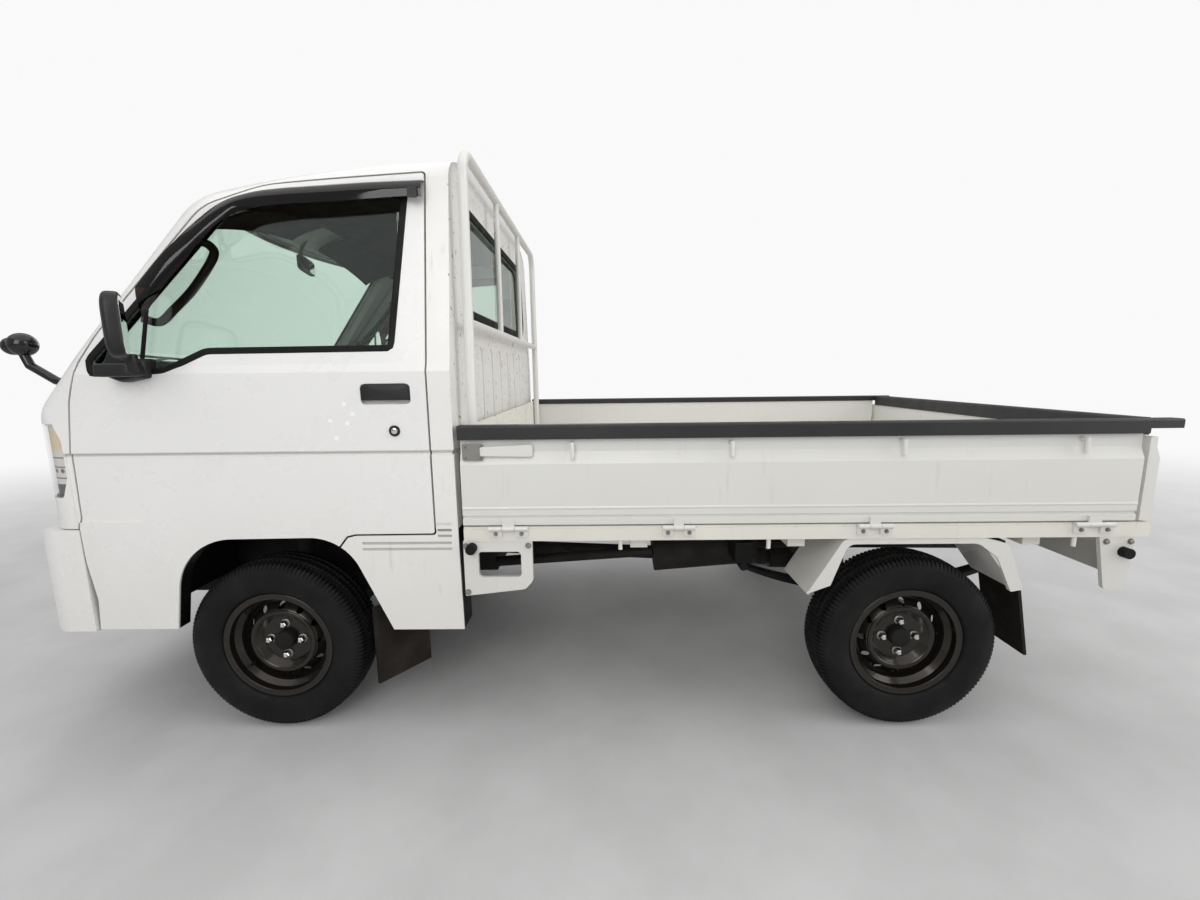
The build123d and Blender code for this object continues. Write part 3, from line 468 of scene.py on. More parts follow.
CAB_PAINT = enamel("cab_enamel", (0.80, 0.795, 0.78), 0.28, 0.30, 0.05, cab=True, chips=CHIPS)
BACK_PAINT = enamel("cab_back_enamel", (0.80, 0.79, 0.76), 0.32, 0.30, 0.25, rust=1.0, cab=True,
                    rust_ends=0.304)
BED_PAINT = enamel("bed_enamel", (0.70, 0.695, 0.66), 0.42, 0.40, 0.20, rust=0.3)
INNER_PAINT = enamel("bed_inner_enamel", (0.76, 0.74, 0.68), 0.55, 0.55, 0.50, 0.00012, rust=0.8)
print("enamels:", [paint.name for paint in (CAB_PAINT, BACK_PAINT, BED_PAINT, INNER_PAINT)])

# %% [markdown]
# Underneath, everything is black: painted rails, oily castings, rubber and moulded plastic. One
# recipe serves them all, because what tells them apart is how rough, how dusty and how coarse
# they are. Dust makes each a little browner and duller in patches.

# %% Dark finishes
ROAD_DUST = (0.13, 0.115, 0.095)


def dark(name, colour, roughness, dust, grain_scale, grain, **sockets):
    """A dark surface with dust where broad noise runs high, and a fine grain in relief."""
    sockets.setdefault("Specular_IOR_Level", 0.16)
    made = Finish(name, colour, roughness, **sockets)
    share = made.ramp(made.noise(7, 6), 0.40, 0.80, 0, dust)
    made.paint(made.mix(share, made.colour, ROAD_DUST))
    made.gloss(made.ramp(made.noise(16, 5), 0.3, 0.7, roughness * 0.85, min(1, roughness * 1.25)))
    made.relief(made.noise(grain_scale, 3), grain)
    return made.material


FRAME_BLACK = dark("frame_black", (0.010, 0.010, 0.010), 0.55, 0.10, 180, 0.0002)
CASTING = dark("oily_casting", (0.030, 0.028, 0.026), 0.62, 0.20, 140, 0.0006, Metallic=0.4)
BARE_STEEL = dark("dull_steel", (0.30, 0.29, 0.27), 0.45, 0.25, 220, 0.0002, Metallic=0.9)
WHEEL_PAINT = dark("wheel_gunmetal", (0.031, 0.027, 0.023), 0.22, 0.04, 300, 0.00008, Metallic=0.75,
                   Specular_IOR_Level=0.3, Coat_Weight=0.25, Coat_Roughness=0.06)
RUBBER = dark("black_rubber", (0.009, 0.009, 0.009), 0.62, 0.04, 400, 0.0001)
FLAP_RUBBER = dark("flap_rubber", (0.014, 0.011, 0.009), 0.70, 0.16, 120, 0.0004)
TYRE_RUBBER = dark("tyre_rubber", (0.006, 0.006, 0.0065), 0.60, 0.06, 500, 0.00012)
BLACK_PLASTIC = dark("grained_black_plastic", (0.010, 0.010, 0.011), 0.42, 0.03, 900, 0.00012,
                     Specular_IOR_Level=0.4)
GLOSS_BLACK = dark("glossy_black_plastic", (0.008, 0.008, 0.009), 0.12, 0.02, 200, 0.00003,
                   Specular_IOR_Level=0.5)
COVER_VINYL = dark("cover_vinyl", (0.020, 0.020, 0.021), 0.45, 0.05, 500, 0.0003,
                   Specular_IOR_Level=0.4)
TRIM_GREY = dark("cabin_grey_plastic", (0.032, 0.034, 0.037), 0.58, 0.05, 700, 0.00015)
CABIN_LINING = dark("cabin_lining", (0.035, 0.035, 0.036), 0.85, 0.05, 300, 0.0003)
PALE_GREY = dark("pale_grey_plastic", (0.30, 0.30, 0.30), 0.45, 0.05, 500, 0.0001)
BRIGHT = dark("bright_plating", (0.75, 0.75, 0.74), 0.12, 0.04, 300, 0.00002, Metallic=1.0)
print("finishes so far:", len(bpy.data.materials))

# %% [markdown]
# Glass and clear mouldings let light through. The panes are tinted a faint green, the visors
# over the doors are smoked brown acrylic, and the tail lamps are red. The headlamps' lenses are
# so clear that bending the light would only hide what lies behind them, so theirs is a faint
# film that shows the reflectors straight.


# %% Clear finishes and mirror
FILM_ALPHA = 0.07


def clear(name, colour, roughness, through=1.0):
    """A see-through moulding with a trace of film that dulls its gloss in patches."""
    made = Finish(name, colour, roughness, Transmission_Weight=through, IOR=1.48)
    if through == 0:
        made.shader.inputs["Alpha"].default_value = FILM_ALPHA
        made.shader.inputs["Specular IOR Level"].default_value = 0.1
    made.gloss(made.ramp(made.noise(12, 4), 0.45, 0.8, roughness, roughness + 0.05))
    return made.material


GLASS = clear("green_glass", (0.76, 0.87, 0.80), 0.0)
SMOKED = clear("smoked_acrylic", (0.035, 0.015, 0.012), 0.04)
LAMP_CLEAR = clear("clear_lens", (0.06, 0.06, 0.06), 0.01, through=0.0)
LAMP_RED = clear("red_lens", (0.62, 0.02, 0.02), 0.10, through=0.5)
mirror = Finish("mirror_glass", (0.85, 0.87, 0.86), 0.02, Metallic=1.0)
mirror.gloss(mirror.ramp(mirror.noise(14, 4), 0.5, 0.8, 0.02, 0.06))
MIRROR = mirror.material
print("clear and bright:", [made.name for made in (GLASS, SMOKED, LAMP_CLEAR, LAMP_RED, MIRROR)])

# %% [markdown]
# Through the headlamp's lens show pale reflectors, an amber lamp above them and a grey surround.
# They are drawn on one surface behind the lens by height, in metres: a band of amber, three dark
# lines between the reflectors, and three bulbs as round spots seen from the side.

# %% The inside of a headlamp
AMBER, SHADOW_LINE = (1.0, 0.76, 0.44), (0.10, 0.09, 0.09)
BULB, SURROUND = (0.16, 0.05, 0.05), (0.19, 0.19, 0.195)
LINE_HEIGHTS = (0.857, 0.830, 0.798)
BULB_PLACES = ((1.4555, 0.819), (1.432, 0.819), (1.4396, 0.766))


def lamp_inside():
    """Pale reflectors parted by dark lines, with amber above and grey below and behind."""
    made = Finish("lamp_inside", (0.92, 0.90, 0.87), 0.25, Metallic=0.2)
    height, ahead = made.along(2), made.along(0)
    band = made.product(made.ramp(height, 0.870, 0.890), made.ramp(height, 0.930, 0.945, 1, 0))
    tone = made.mix(made.product(band, 0.65), made.colour, AMBER)
    for level in LINE_HEIGHTS:
        line = made.ramp(made.apart(height, level), 0.0012, 0.0026, 0.75, 0)
        tone = made.mix(line, tone, SHADOW_LINE)
    flat = made.node("ShaderNodeCombineXYZ")
    made.feed(flat.inputs["X"], ahead)
    made.feed(flat.inputs["Z"], height)
    for x, z in BULB_PLACES:
        away = made.far_from((x, 0, z), flat.outputs[0])
        tone = made.mix(made.ramp(away, 0.004, 0.009, 0.8, 0), tone, BULB)
    behind = made.product(made.ramp(ahead, 1.412, 1.415, 1, 0),
                          made.ramp(height, 0.864, 0.868, 1, 0))
    grey = made.maths("MAXIMUM", behind, made.ramp(height, 0.779, 0.782, 1, 0))
    made.paint(made.mix(grey, tone, SURROUND))
    made.relief(made.noise(90, 2), 0.0006)
    return made.material


LAMP_INSIDE = lamp_inside()
print("lamp inside:", len(LAMP_INSIDE.node_tree.nodes), "nodes")

# %% [markdown]
# The seats wear a plain woven cloth. Threads as geometry would be far too many, so two crossed
# waves lift them as bump, and a broad noise rubs the cloth paler where people slide in and out.
# The bands of a wave texture stand 2 pi / (20 scale) apart, here about 3 mm.

# %% Seat cloth
THREAD_SCALE = 700 / 6.28


def woven(name, colour, pale):
    """Crossed bands in x and z lift the threads; noise blends in the worn colour."""
    made = Finish(name, colour, 0.9, Sheen_Weight=0.3, Sheen_Roughness=0.4)
    waves = []
    for direction in ("X", "Z"):
        wave = made.node("ShaderNodeTexWave", bands_direction=direction)
        made.feed(wave.inputs["Vector"], made.place)
        made.feed(wave.inputs["Scale"], THREAD_SCALE)
        waves.append(wave.outputs["Fac"])
    made.paint(made.mix(made.ramp(made.noise(6, 5), 0.35, 0.75, 0, 0.6), made.colour, pale))
    made.relief(made.product(*waves), 0.0004)
    return made.material


SEAT_CLOTH = woven("seat_cloth", (0.075, 0.080, 0.088), (0.13, 0.135, 0.14))
print("cloth:", SEAT_CLOTH.name)

# %% [markdown]
# The solids keep their shape and take their finish here, each by its node's name. One table
# from finish to nodes is easier to read and to change than a line for each of them.

# %% Finishes of the CAD nodes
WEAR = {
    CAB_PAINT: ["cab_roof", "front_panel", "front_bumper", "door_left", "door_right"],
    BACK_PAINT: ["cab_back"],
    BED_PAINT: ["bed_brackets", "bed_hinges", "rear_panel", "rear_fenders", "guard_frame",
                "side_gate_left", "side_gate_right", "tailgate"],
    INNER_PAINT: ["bed_floor"],
    FRAME_BLACK: ["cab_floor", "chassis_frame", "front_suspension", "leaf_springs", "fuel_tank"],
    CASTING: ["engine_block", "rear_axle", "knuckle_left", "knuckle_right", "propshaft", "exhaust"],
    GLASS: ["windscreen", "rear_window", "door_glass_left", "door_glass_right"],
    SMOKED: ["door_visor_left", "door_visor_right"],
    BLACK_PLASTIC: ["door_fittings_left", "door_fittings_right", "steering_wheel", "wipers"],
    TRIM_GREY: ["dashboard", "cab_fittings"],
    COVER_VINYL: ["gate_cover_left", "gate_cover_right", "tailgate_cover"],
    GLOSS_BLACK: ["under_mirror"],
    LAMP_CLEAR: ["headlamps"],
    LAMP_INSIDE: ["headlamp_housings"],
    LAMP_RED: ["tail_lamps"],
    FLAP_RUBBER: ["mudflaps"],
    RUBBER: ["gate_bumpers"],
    WHEEL_PAINT: [f"rim_{wheel}" for wheel, _, _ in WHEELS],
    SEAT_CLOTH: ["seat_left", "seat_right"],
    TYRE_RUBBER: [f"tyre_{wheel}" for wheel, _, _ in WHEELS],
}
for finish, names in WEAR.items():
    for name in names:
        NODES[name].data.materials.clear()
        NODES[name].data.materials.append(finish)
unfinished = set(NODES) - {name for names in WEAR.values() for name in names}
print("nodes without a finish:", sorted(unfinished))

# %% [markdown]
# ## Tyres
# A tyre is one profile turned round the wheel: bead, bulging sidewall, shoulder, tread. Blocks
# could be booleans or copies bent round a circle. Here the radius itself is cut back where a
# groove runs, so the tyre stays one closed skin: three zigzag grooves round it, a slit across
# each shoulder at every pitch, and a fine sipe between. One array keeps all four alike.

# %% The tread's numbers
TREAD_PITCHES = 126
STEPS_PER_PITCH = 6
GROOVES, GROOVE_WIDTH, GROOVE_DEPTH = (-26, 0, 26), 6, 7
SHOULDER_FROM, SLIT_SHARE, SLIT_DEPTH = 33, 0.26, 6
SIPE_WITHIN, SIPE_DEPTH = 24, 3
TYRE_SIDE = [(158, 45), (168.5, 48.5), (170, 56), (175, 61.5), (179, 64), (196, 70.6), (212, 72.3),
             (226, 71.6), (240, 68.6), (252, 63), (259, 57)]
TREAD_HALF = 55
TREAD_RADIUS = 268
columns = TREAD_PITCHES * STEPS_PER_PITCH
turn = np.arange(columns) / columns * 2 * np.pi
phase = (np.arange(columns) % STEPS_PER_PITCH) / STEPS_PER_PITCH
pitch = 2 * np.pi * TREAD_RADIUS / TREAD_PITCHES
print(columns, "columns round a tyre,", round(pitch, 1), "mm a pitch")


# %% Tread and sidewall
def groove(distance):
    """1 inside a groove and 0 outside, with walls a millimetre wide."""
    return np.clip((GROOVE_WIDTH / 2 - np.abs(distance)) + 0.5, 0, 1)


def tread_radius(across):
    """Crown - depth * pattern: a parabola over the width, cut by grooves, slits and sipes."""
    zigzag = 2.2 * np.abs(((turn * TREAD_PITCHES / 2 / np.pi / 2) % 1) * 2 - 1) - 1.1
    cut = sum(groove(across[:, None] - middle - zigzag) for middle in GROOVES)
    slit = (phase < SLIT_SHARE)[None] & (np.abs(across) > SHOULDER_FROM)[:, None]
    sipe = (np.abs(phase - 0.5) < 0.07)[None] & (np.abs(across) < SIPE_WITHIN)[:, None]
    crown = (TREAD_RADIUS - 0.0022 * across**2)[:, None]
    radius = crown - GROOVE_DEPTH * np.clip(cut, 0, 1)
    radius = np.where(slit, np.minimum(radius, crown - SLIT_DEPTH), radius)
    return np.where(sipe, np.minimum(radius, crown - SIPE_DEPTH), radius)


def sidewall():
    """Radius and width of the wall, with two raised rings and the slits' ends cut into it."""
    wall = smooth_path(TYRE_SIDE, 20)
    for at, high, wide in ((184, 0.7, 1.2), (246, 0.6, 1.5)):
        wall[:, 1] += high * np.exp(-((wall[:, 0] - at) / wide) ** 2)
    cut = (wall[:, 0] > 250)[:, None] & (phase < SLIT_SHARE)[None]
    radius, out = (np.repeat(wall[:, k:k + 1], columns, 1) for k in (0, 1))
    return radius - 3 * cut, out - 1.5 * cut


across = np.linspace(TREAD_HALF, -TREAD_HALF, 41)
wall_radius, wall_out = sidewall()
tyre_radius = np.concatenate([wall_radius, tread_radius(across), wall_radius[::-1]])
tyre_out = np.concatenate([wall_out, np.repeat(across[:, None], columns, 1), -wall_out[::-1]])
for wheel, x, side in WHEELS:
    points = np.stack([x + tyre_radius * np.sin(turn), side * (WHEEL_Y + tyre_out),
                       HUB_Z + tyre_radius * np.cos(turn)], 2)
    rubber = [(points, True, True)]
    tread = piece(f"tread_{wheel}", rubber, f"wheel_{wheel}", TYRE_RUBBER, 30)
    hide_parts(f"tyre_{wheel}")

# %% [markdown]
# Each wheel is held by four plated nuts with domed ends, round a black cap over the hub. A valve
# stem stands out of the rim. All are turned profiles, which is how the real ones are made: a nut
# is a profile turned in six steps. The nuts sit over the plain hexagons of the solid. Two rings,
# the rim's rolled lip and the crest of its disc, round off edges that are sharp in the solid.


# %% The wheel's small parts
def hexagon(across, out_low, out_high, centre, side):
    """A nut whose six flats shrink into a dome: radius r at each height, six corners round."""
    corner = across / math.sqrt(3)
    rows = [(corner, out_low), (corner, out_high - 4), (corner * 0.93, out_high - 1.5),
            (corner * 0.7, out_high + 2), (corner * 0.35, out_high + 4.5), (0.1, out_high + 5)]
    return turned(rows, centre, (0, side, 0), 6)


NUT_CIRCLE = 50
VALVE_CIRCLE, VALVE_TURN = 128, 2.2
VALVE_RADII = np.array([5, 5, 4, 3.4, 3.4, 4.2, 4.2, 3.8])
WASHER = [(14.5, 8.9), (14.5, 10.5), (13, 11.6), (10, 11.6)]
HUB_CAP = [(30.2, 8), (30.4, 25), (28.5, 28.2), (24, 29.6), (16, 30.4), (0.1, 30.8)]
RIM_LIP = [(168.4, 50), (168.8, 53), (167.6, 55.4), (165, 56.3), (162, 55.2), (159.5, 54.2),
           (155, 54.4), (151.5, 54.8), (149.4, 54.6), (148.6, 53), (149, 51), (152, 50.5),
           (160, 50.8)]
DISC_CREST = [(85, 24.5), (87.5, 28), (91, 30.2), (95, 31.2), (99, 30.8), (101.6, 29), (102.2, 27),
              (98, 26), (91, 24)]


def round_hub(x, side, radius, angle, out=0.0):
    """A place at that radius and angle round a hub, and that far out from the wheel's middle."""
    return np.array([x + radius * math.sin(angle), side * (WHEEL_Y + out),
                     HUB_Z + radius * math.cos(angle)])


print("first nut of the left front wheel:", round_hub(0, 1, NUT_CIRCLE, 0))


# %% Nuts, caps, rings and valves on every wheel
for wheel, x, side in WHEELS:
    body, axis, hub = f"wheel_{wheel}", (0, side, 0), round_hub(x, side, 0, 0)
    studs = [round_hub(x, side, NUT_CIRCLE, quarter * np.pi / 2) for quarter in range(4)]
    nuts = [hexagon(21, 8.5, 25, stud, side) for stud in studs]
    piece(f"wheel_nuts_{wheel}", nuts, body, BRIGHT, 25)
    washers = [turned(WASHER, stud, axis, 24) for stud in studs]
    piece(f"nut_seats_{wheel}", washers, body, BARE_STEEL)
    piece(f"hub_cap_{wheel}", [turned(HUB_CAP, hub, axis)], body, RUBBER)
    rings = [turned(rows, hub, axis, 96, True) for rows in (RIM_LIP, DISC_CREST)]
    piece(f"rim_rings_{wheel}", rings, body, WHEEL_PAINT, 60)
    foot = round_hub(x, side, VALVE_CIRCLE, VALVE_TURN, 20)
    tip = round_hub(x, side, VALVE_CIRCLE - 8, VALVE_TURN, 50)
    stem = foot + np.linspace(0, 1, len(VALVE_RADII))[:, None] * (tip - foot)
    piece(f"valve_{wheel}", [bar(stem, VALVE_RADII, (1, 0, 0))], body, RUBBER)

# %% [markdown]
# ## Surfaces of the cab
# The cab's side wall leans in above the waist, its screen is a sheet bowed to an 1800 mm radius,
# and its roof runs back from the screen on two arcs. Pieces could be snapped to the solids by
# eye or with a Shrinkwrap modifier. The same formulas that shaped the solids place every seal,
# lining and wiper exactly instead, at any distance from the panel that carries it.


# %% The cab's surfaces as formulas
HEADER_X, HEADER_LEAN = 109.5, math.radians(11.7)


def side_y(z):
    """Half width of the cab at height z, read off its front outline with the belt's ledge."""
    return np.interp(z, (300, 640, 1088, 1112, 1900), (726, 737, 737, 728.6, 601))


def lining_y(z, inset):
    """Half width inside the cab: upright, an arc of 1200, then leaning in 136 in 840."""
    z = np.asarray(z, dtype=float)
    arc = 737 - 1200 + np.sqrt(np.maximum(1200**2 - np.maximum(z - 963.5, 0) ** 2, 1))
    return np.where(z < 1155.3, arc, 737 - (z - 1060) * 136 / 840) - inset


def bow(y):
    """How far the crown of radius 1800 falls away at distance y from the middle."""
    return 1800 - np.sqrt(1800**2 - np.asarray(y, dtype=float) ** 2)


def screen_x(y, z, inset=0):
    """The screen's x at (y, z), moved in square to the glass by the inset."""
    return 277 + (1606 - z) / 1.171 - 1.315 * bow(y) - inset / 0.76


def roof_z(x, y, inset=0):
    """The roof's height: an arc of 3400 back to the rear, then one of 300 down to the screen."""
    x = np.asarray(x, dtype=float)
    main = 1776 - 3400 + np.sqrt(3400**2 - np.clip(x + 580, 0, 1200) ** 2)
    centre_x = HEADER_X - 300 * math.sin(HEADER_LEAN)
    centre_z = 1705.4 - 300 * math.cos(HEADER_LEAN)
    header = centre_z + np.sqrt(np.maximum(300**2 - (x - centre_x) ** 2, 1))
    return np.where(x < HEADER_X, main, header) - bow(y) - inset


print("half width at the waist:", side_y(1088))
print("roof over the seats:", round(float(roof_z(-400, 0))))

# %% [markdown]
# Rubber seals hold the glass. Each is a flattened bead carried round the outline of its opening,
# half on the pane and half on the metal. The same outline serves pane, seal and opening, so they
# can't drift apart. The doors have a second, narrower bead 30 mm further in, which closes the
# door's frame behind the glass.

# %% Window outlines
SIDE_WINDOW = [(-418, 1152), (-460, 1582), (40, 1562), (425, 1128), (415, 1092), (215, 1095),
               (95, 1150)]
SIDE_RADII = [12, 15, 110, 15, 10, 60, 60]
SCREEN = [(632, 1134), (560, 1602), (-560, 1602), (-632, 1134)]
SCREEN_RADII = [40, 60, 60, 40]
REAR_WINDOW = [(540, 1268), (490, 1580), (-490, 1580), (-540, 1268)]
REAR_RADII = [60, 60, 60, 60]
BEAD = [(-7, -3), (7, -3), (8, 0), (6, 2.6), (0, 3.4), (-6, 2.6), (-8, 0)]
SEAL_STEP = 12
window_line = even(rounded(SIDE_WINDOW, SIDE_RADII), SEAL_STEP)
screen_line = even(rounded(SCREEN, SCREEN_RADII), SEAL_STEP)
rear_line = even(rounded(REAR_WINDOW, REAR_RADII), SEAL_STEP)
print("points round the windows:", len(window_line), len(screen_line), len(rear_line))


# %% Window seals
def seal(path, wide, high, guide):
    """The bead, made wider and higher by those factors, carried round a closed path."""
    return (carried(path, np.array(BEAD) * (wide, high), guide, closed=True), True, True)


for name, side in SIDES:
    across, up = window_line.T
    path = np.stack([across, side * (side_y(up) - 0.6), up], 1)
    outside = seal(path, 1.25, 1, (0, side, 0))
    inside = seal(path - (0, side * 30, 0), 0.8, 2, (0, side, 0))
    piece(f"door_window_seal_{name}", [outside, inside], f"door_{name}", RUBBER)

across, up = screen_line.T
path = np.stack([screen_x(across, up, 1.0), across, up], 1)
piece("windscreen_seal", [seal(path, 1.7, 1.2, (0.76, 0, 0.65))], "truck", RUBBER)
across, up = rear_line.T
path = np.stack([np.full(len(across), -580.0), across, up], 1)
piece("rear_window_seal", [seal(path, 1.7, 1.4, (-1, 0, 0))], "truck", RUBBER)

# %% [markdown]
# ## Seats
# A seat is foam in woven cloth: a cushion crowned between its seams, with two sewn channels along
# it. A sculpted block would look hard, so the pad is first a formula and then blown up as cloth.
# Half thickness is a product of two rounded falls, h = T (1 - |u|^p)^(1/q) (1 - |v|^p)^(1/q),
# so the top and the bottom meet in a closed seam.


# %% Cushions before they are filled
def cushion(length, width, thick, taper=0.0, steps=(44, 40), p=7, q=2.4):
    """A closed pad about the origin: length along x, width along y, crowned in z."""
    u, v = np.meshgrid(np.linspace(-1, 1, steps[0]), np.linspace(-1, 1, steps[1]), indexing="ij")
    fall = ((1 - np.abs(u) ** p) * (1 - np.abs(v) ** p)) ** (1 / q)
    crown = 0.86 + 0.14 * (1 - u**2) * (1 - v**2)
    height = thick / 2 * fall * crown
    x = length / 2 * u * (1 - 0.02 * (1 - v**2) * np.abs(u) ** 4)
    y = width / 2 * v * (1 - taper * (u + 1) / 2) * (1 - 0.02 * (1 - u**2) * np.abs(v) ** 4)
    top, bottom = np.stack([x, y, height], 2), np.stack([x, y, -height], 2)
    return (np.concatenate([top, bottom[:, -2:0:-1]], 1), False, True)


def grid_mesh(grid):
    """Points in metres and faces of one closed grid that stands about the origin."""
    points, wrap_rows, wrap_columns = grid
    rows, columns = points.shape[:2]
    flat = points.reshape(-1, 3) / 1000
    return flat, outward(flat, rows_of_faces(rows, columns, wrap_rows, wrap_columns))


print("a plain pad:", len(grid_mesh(cushion(480, 430, 84))[1]), "faces")

# %% [markdown] Cloth under pressure rounds the pad as foam rounds its cover. The mesh is first
# made even by a voxel remesh, because long thin faces would wrinkle. How far any point may move
# is capped, so the pad keeps its size.


# %% Cloth under pressure
SWELL_CAP, VOXEL = 0.012, 0.006
PRESSURE, FRAMES = 4, 20


def evaluated(made):
    """A mesh with its modifiers applied, as points and four-sided faces."""
    graph = bpy.context.evaluated_depsgraph_get()
    mesh = bpy.data.meshes.new_from_object(made.evaluated_get(graph))
    points = np.empty(len(mesh.vertices) * 3)
    mesh.vertices.foreach_get("co", points)
    faces = np.array([tuple(face.vertices) for face in mesh.polygons if len(face.vertices) == 4])
    return points.reshape(-1, 3), faces


def swollen(grid):
    """The pad as cloth under pressure: remeshed evenly, run for some frames, movement capped."""
    points, faces = grid_mesh(grid)
    mesh = bpy.data.meshes.new("pad")
    mesh.from_pydata(points.tolist(), [], faces.tolist())
    pad = bpy.data.objects.new("pad", mesh)
    bpy.context.scene.collection.objects.link(pad)
    remesh = pad.modifiers.new("even", "REMESH")
    remesh.mode, remesh.voxel_size = "VOXEL", VOXEL
    start, faces = evaluated(pad)
    pad.modifiers.clear()
    pad.data = bpy.data.meshes.new("even_pad")
    pad.data.from_pydata(start.tolist(), [], faces.tolist())
    cloth = pad.modifiers.new("cloth", "CLOTH")
    cloth.settings.use_pressure = True
    cloth.settings.uniform_pressure_force = PRESSURE
    cloth.settings.effector_weights.gravity = 0
    cloth.point_cache.frame_start, cloth.point_cache.frame_end = 1, FRAMES
    for step in range(1, FRAMES + 1):
        bpy.context.scene.frame_set(step)
    end, _ = evaluated(pad)
    bpy.data.objects.remove(pad)
    bpy.context.scene.frame_set(1)
    move = end - start
    reach = np.linalg.norm(move, axis=1, keepdims=True)
    print(f"pad blown up by {reach.max() * 1000:.1f} mm at most")
    return start + move * np.minimum(1, SWELL_CAP / np.maximum(reach, 1e-9)), faces


# %% Sewing and placing
CHANNEL_DEPTH, CHANNEL_HALF, CHANNEL_ENDS = 6.5, 4.0, 60


def sewn(points, length, channels):
    """Channels pressed into both faces along x, and a piped seam raised round the middle."""
    x, y, z = points.T * 1000
    dip = sum(np.exp(-(((y - at) / CHANNEL_HALF) ** 2)) for at in channels)
    lift = 1 + 0.012 * np.exp(-((z / 3.2) ** 2))
    inside = (np.abs(z) > 12) * (np.abs(x) < length / 2 - CHANNEL_ENDS)
    z = z - np.sign(z) * CHANNEL_DEPTH * dip * inside
    return np.stack([x * lift, y * lift, z], 1)


def placed(points, centre, lean, y=0.0):
    """Points turned about Y by the lean in degrees, then moved to the centre."""
    a = math.radians(lean)
    x = points[..., 0] * math.cos(a) + points[..., 2] * math.sin(a)
    z = -points[..., 0] * math.sin(a) + points[..., 2] * math.cos(a)
    return np.stack([x + centre[0], points[..., 1] + y, z + centre[1]], -1)


SEAT_Y = 300
PADS = (  # length, width, thickness and taper; channels at y; middle (x, z); lean in degrees
    ((480, 430, 84, 0.0), (-105, 105), (-160, 750), -3.5),
    ((480, 420, 78, 0.24), (-100, 100), (-420, 1045), -98.0),
)
shapes = []
for size, channels, centre, lean in PADS:
    points, faces = swollen(cushion(*size))
    shapes.append((sewn(points, size[0], channels), faces, centre, lean))
for name, side in SIDES:
    points, faces, start = [], [], 0
    for shape, pad_faces, centre, lean in shapes:
        points.append(metres(placed(shape, centre, lean, side * SEAT_Y)))
        faces.append(pad_faces + start)
        start += len(shape)
    seat = mesh_piece(f"seat_cushions_{name}", np.concatenate(points), np.concatenate(faces),
                      "truck", SEAT_CLOTH, 60)
    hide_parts(f"seat_{name}")

# %% [markdown]
# ## Inside the cab
# The roof is lined, and two visors fold up under the header. Each is a sheet a few millimetres
# thick whose grid follows the roof at a distance, so no modifier has to wrap it.


# %% Roof lining and sun visors
def patch(x_run, other_run):
    """A grid over two runs of (low, high, count): its x and its other parameter."""
    return np.meshgrid(np.linspace(*x_run), np.linspace(*other_run), indexing="ij")


x, y = patch((-520, 95, 24), (-560, 560, 30))
roof_lining = np.stack([x, y, roof_z(x, y, 52)], 2)
piece("roof_lining", [sheet(roof_lining, (0, 0, -4))], "truck", CABIN_LINING)

visors = []
for _, side in SIDES:
    x, y = patch((60, 200, 10), (side * 90, side * 500, 16))
    visors.append(sheet(np.stack([x, y, roof_z(x, y, 56) - (x - 60) * 0.03], 2), (0, 0, 10)))
piece("sun_visors", visors, "truck", CABIN_LINING)

# %% [markdown]
# A door's inside is one pressed card with two grooves along it, an armrest and a crank for the
# window. Everything here rides on its door, so that it swings out with it.

# %% Door trims, armrests and window cranks
GROOVE_HEIGHTS = ((985, 10.0), (780, 8.0))
ARMREST = [(-300, 668, 900), (-285, 652, 905), (-120, 648, 910), (40, 652, 915), (60, 668, 912)]
CRANK_BARS = (  # the run, its spacing, its radius and its guide: hub, arm and knob
    ([(150, 672, 880), (150, 660, 880)], 3, 16, (1, 0, 0)),
    ([(150, 658, 880), (128, 656, 836), (122, 656, 826)], 4, 6, (0, 1, 0)),
    ([(122, 658, 826), (122, 636, 826)], 4, 9, (1, 0, 0)),
)


def door_inside(name, side):
    """The card of one door, its armrest and its crank."""
    body, flip = f"door_{name}", (1, side, 1)
    x, z = patch((-485, 395, 40), (650, 1076, 24))
    dent = sum(5 * np.exp(-(((z - at) / wide) ** 2)) for at, wide in GROOVE_HEIGHTS)
    card = np.stack([x, side * (lining_y(z, 46.5) - 8 + dent), z], 2)
    x, z = patch((330, 470, 12), (420, 660, 12))
    toe = np.stack([x, side * (lining_y(z, 48) - 6), z], 2)
    cards = [sheet(grid, (0, side * -3, 0)) for grid in (card, toe)]
    piece(f"door_trim_{name}", cards, body, TRIM_GREY)
    armrest = bar(smooth_path(np.array(ARMREST) * flip, 26), 17)
    piece(f"door_armrest_{name}", [armrest], body, BLACK_PLASTIC)
    crank = [bar(straight(np.array(run) * flip, spacing), radius, guide)
             for run, spacing, radius, guide in CRANK_BARS]
    piece(f"window_crank_{name}", crank, body, BLACK_PLASTIC)


print("a crank of", len(CRANK_BARS), "bars on each door")

# %% [markdown]
# A belt hangs from the rear pillar to its reel. It lies still against the lining, so a flat
# section carried down the pillar does for it. Its buckle stands by the seat.

# %% Seat belts
BELT_X, REEL_Y = -488, 640
STRAP = [(-23, -1), (23, -1), (23, 1), (-23, 1)]
ANCHOR = [(0.1, 8), (20, 7), (24, 0), (20, -3), (0.1, -3)]


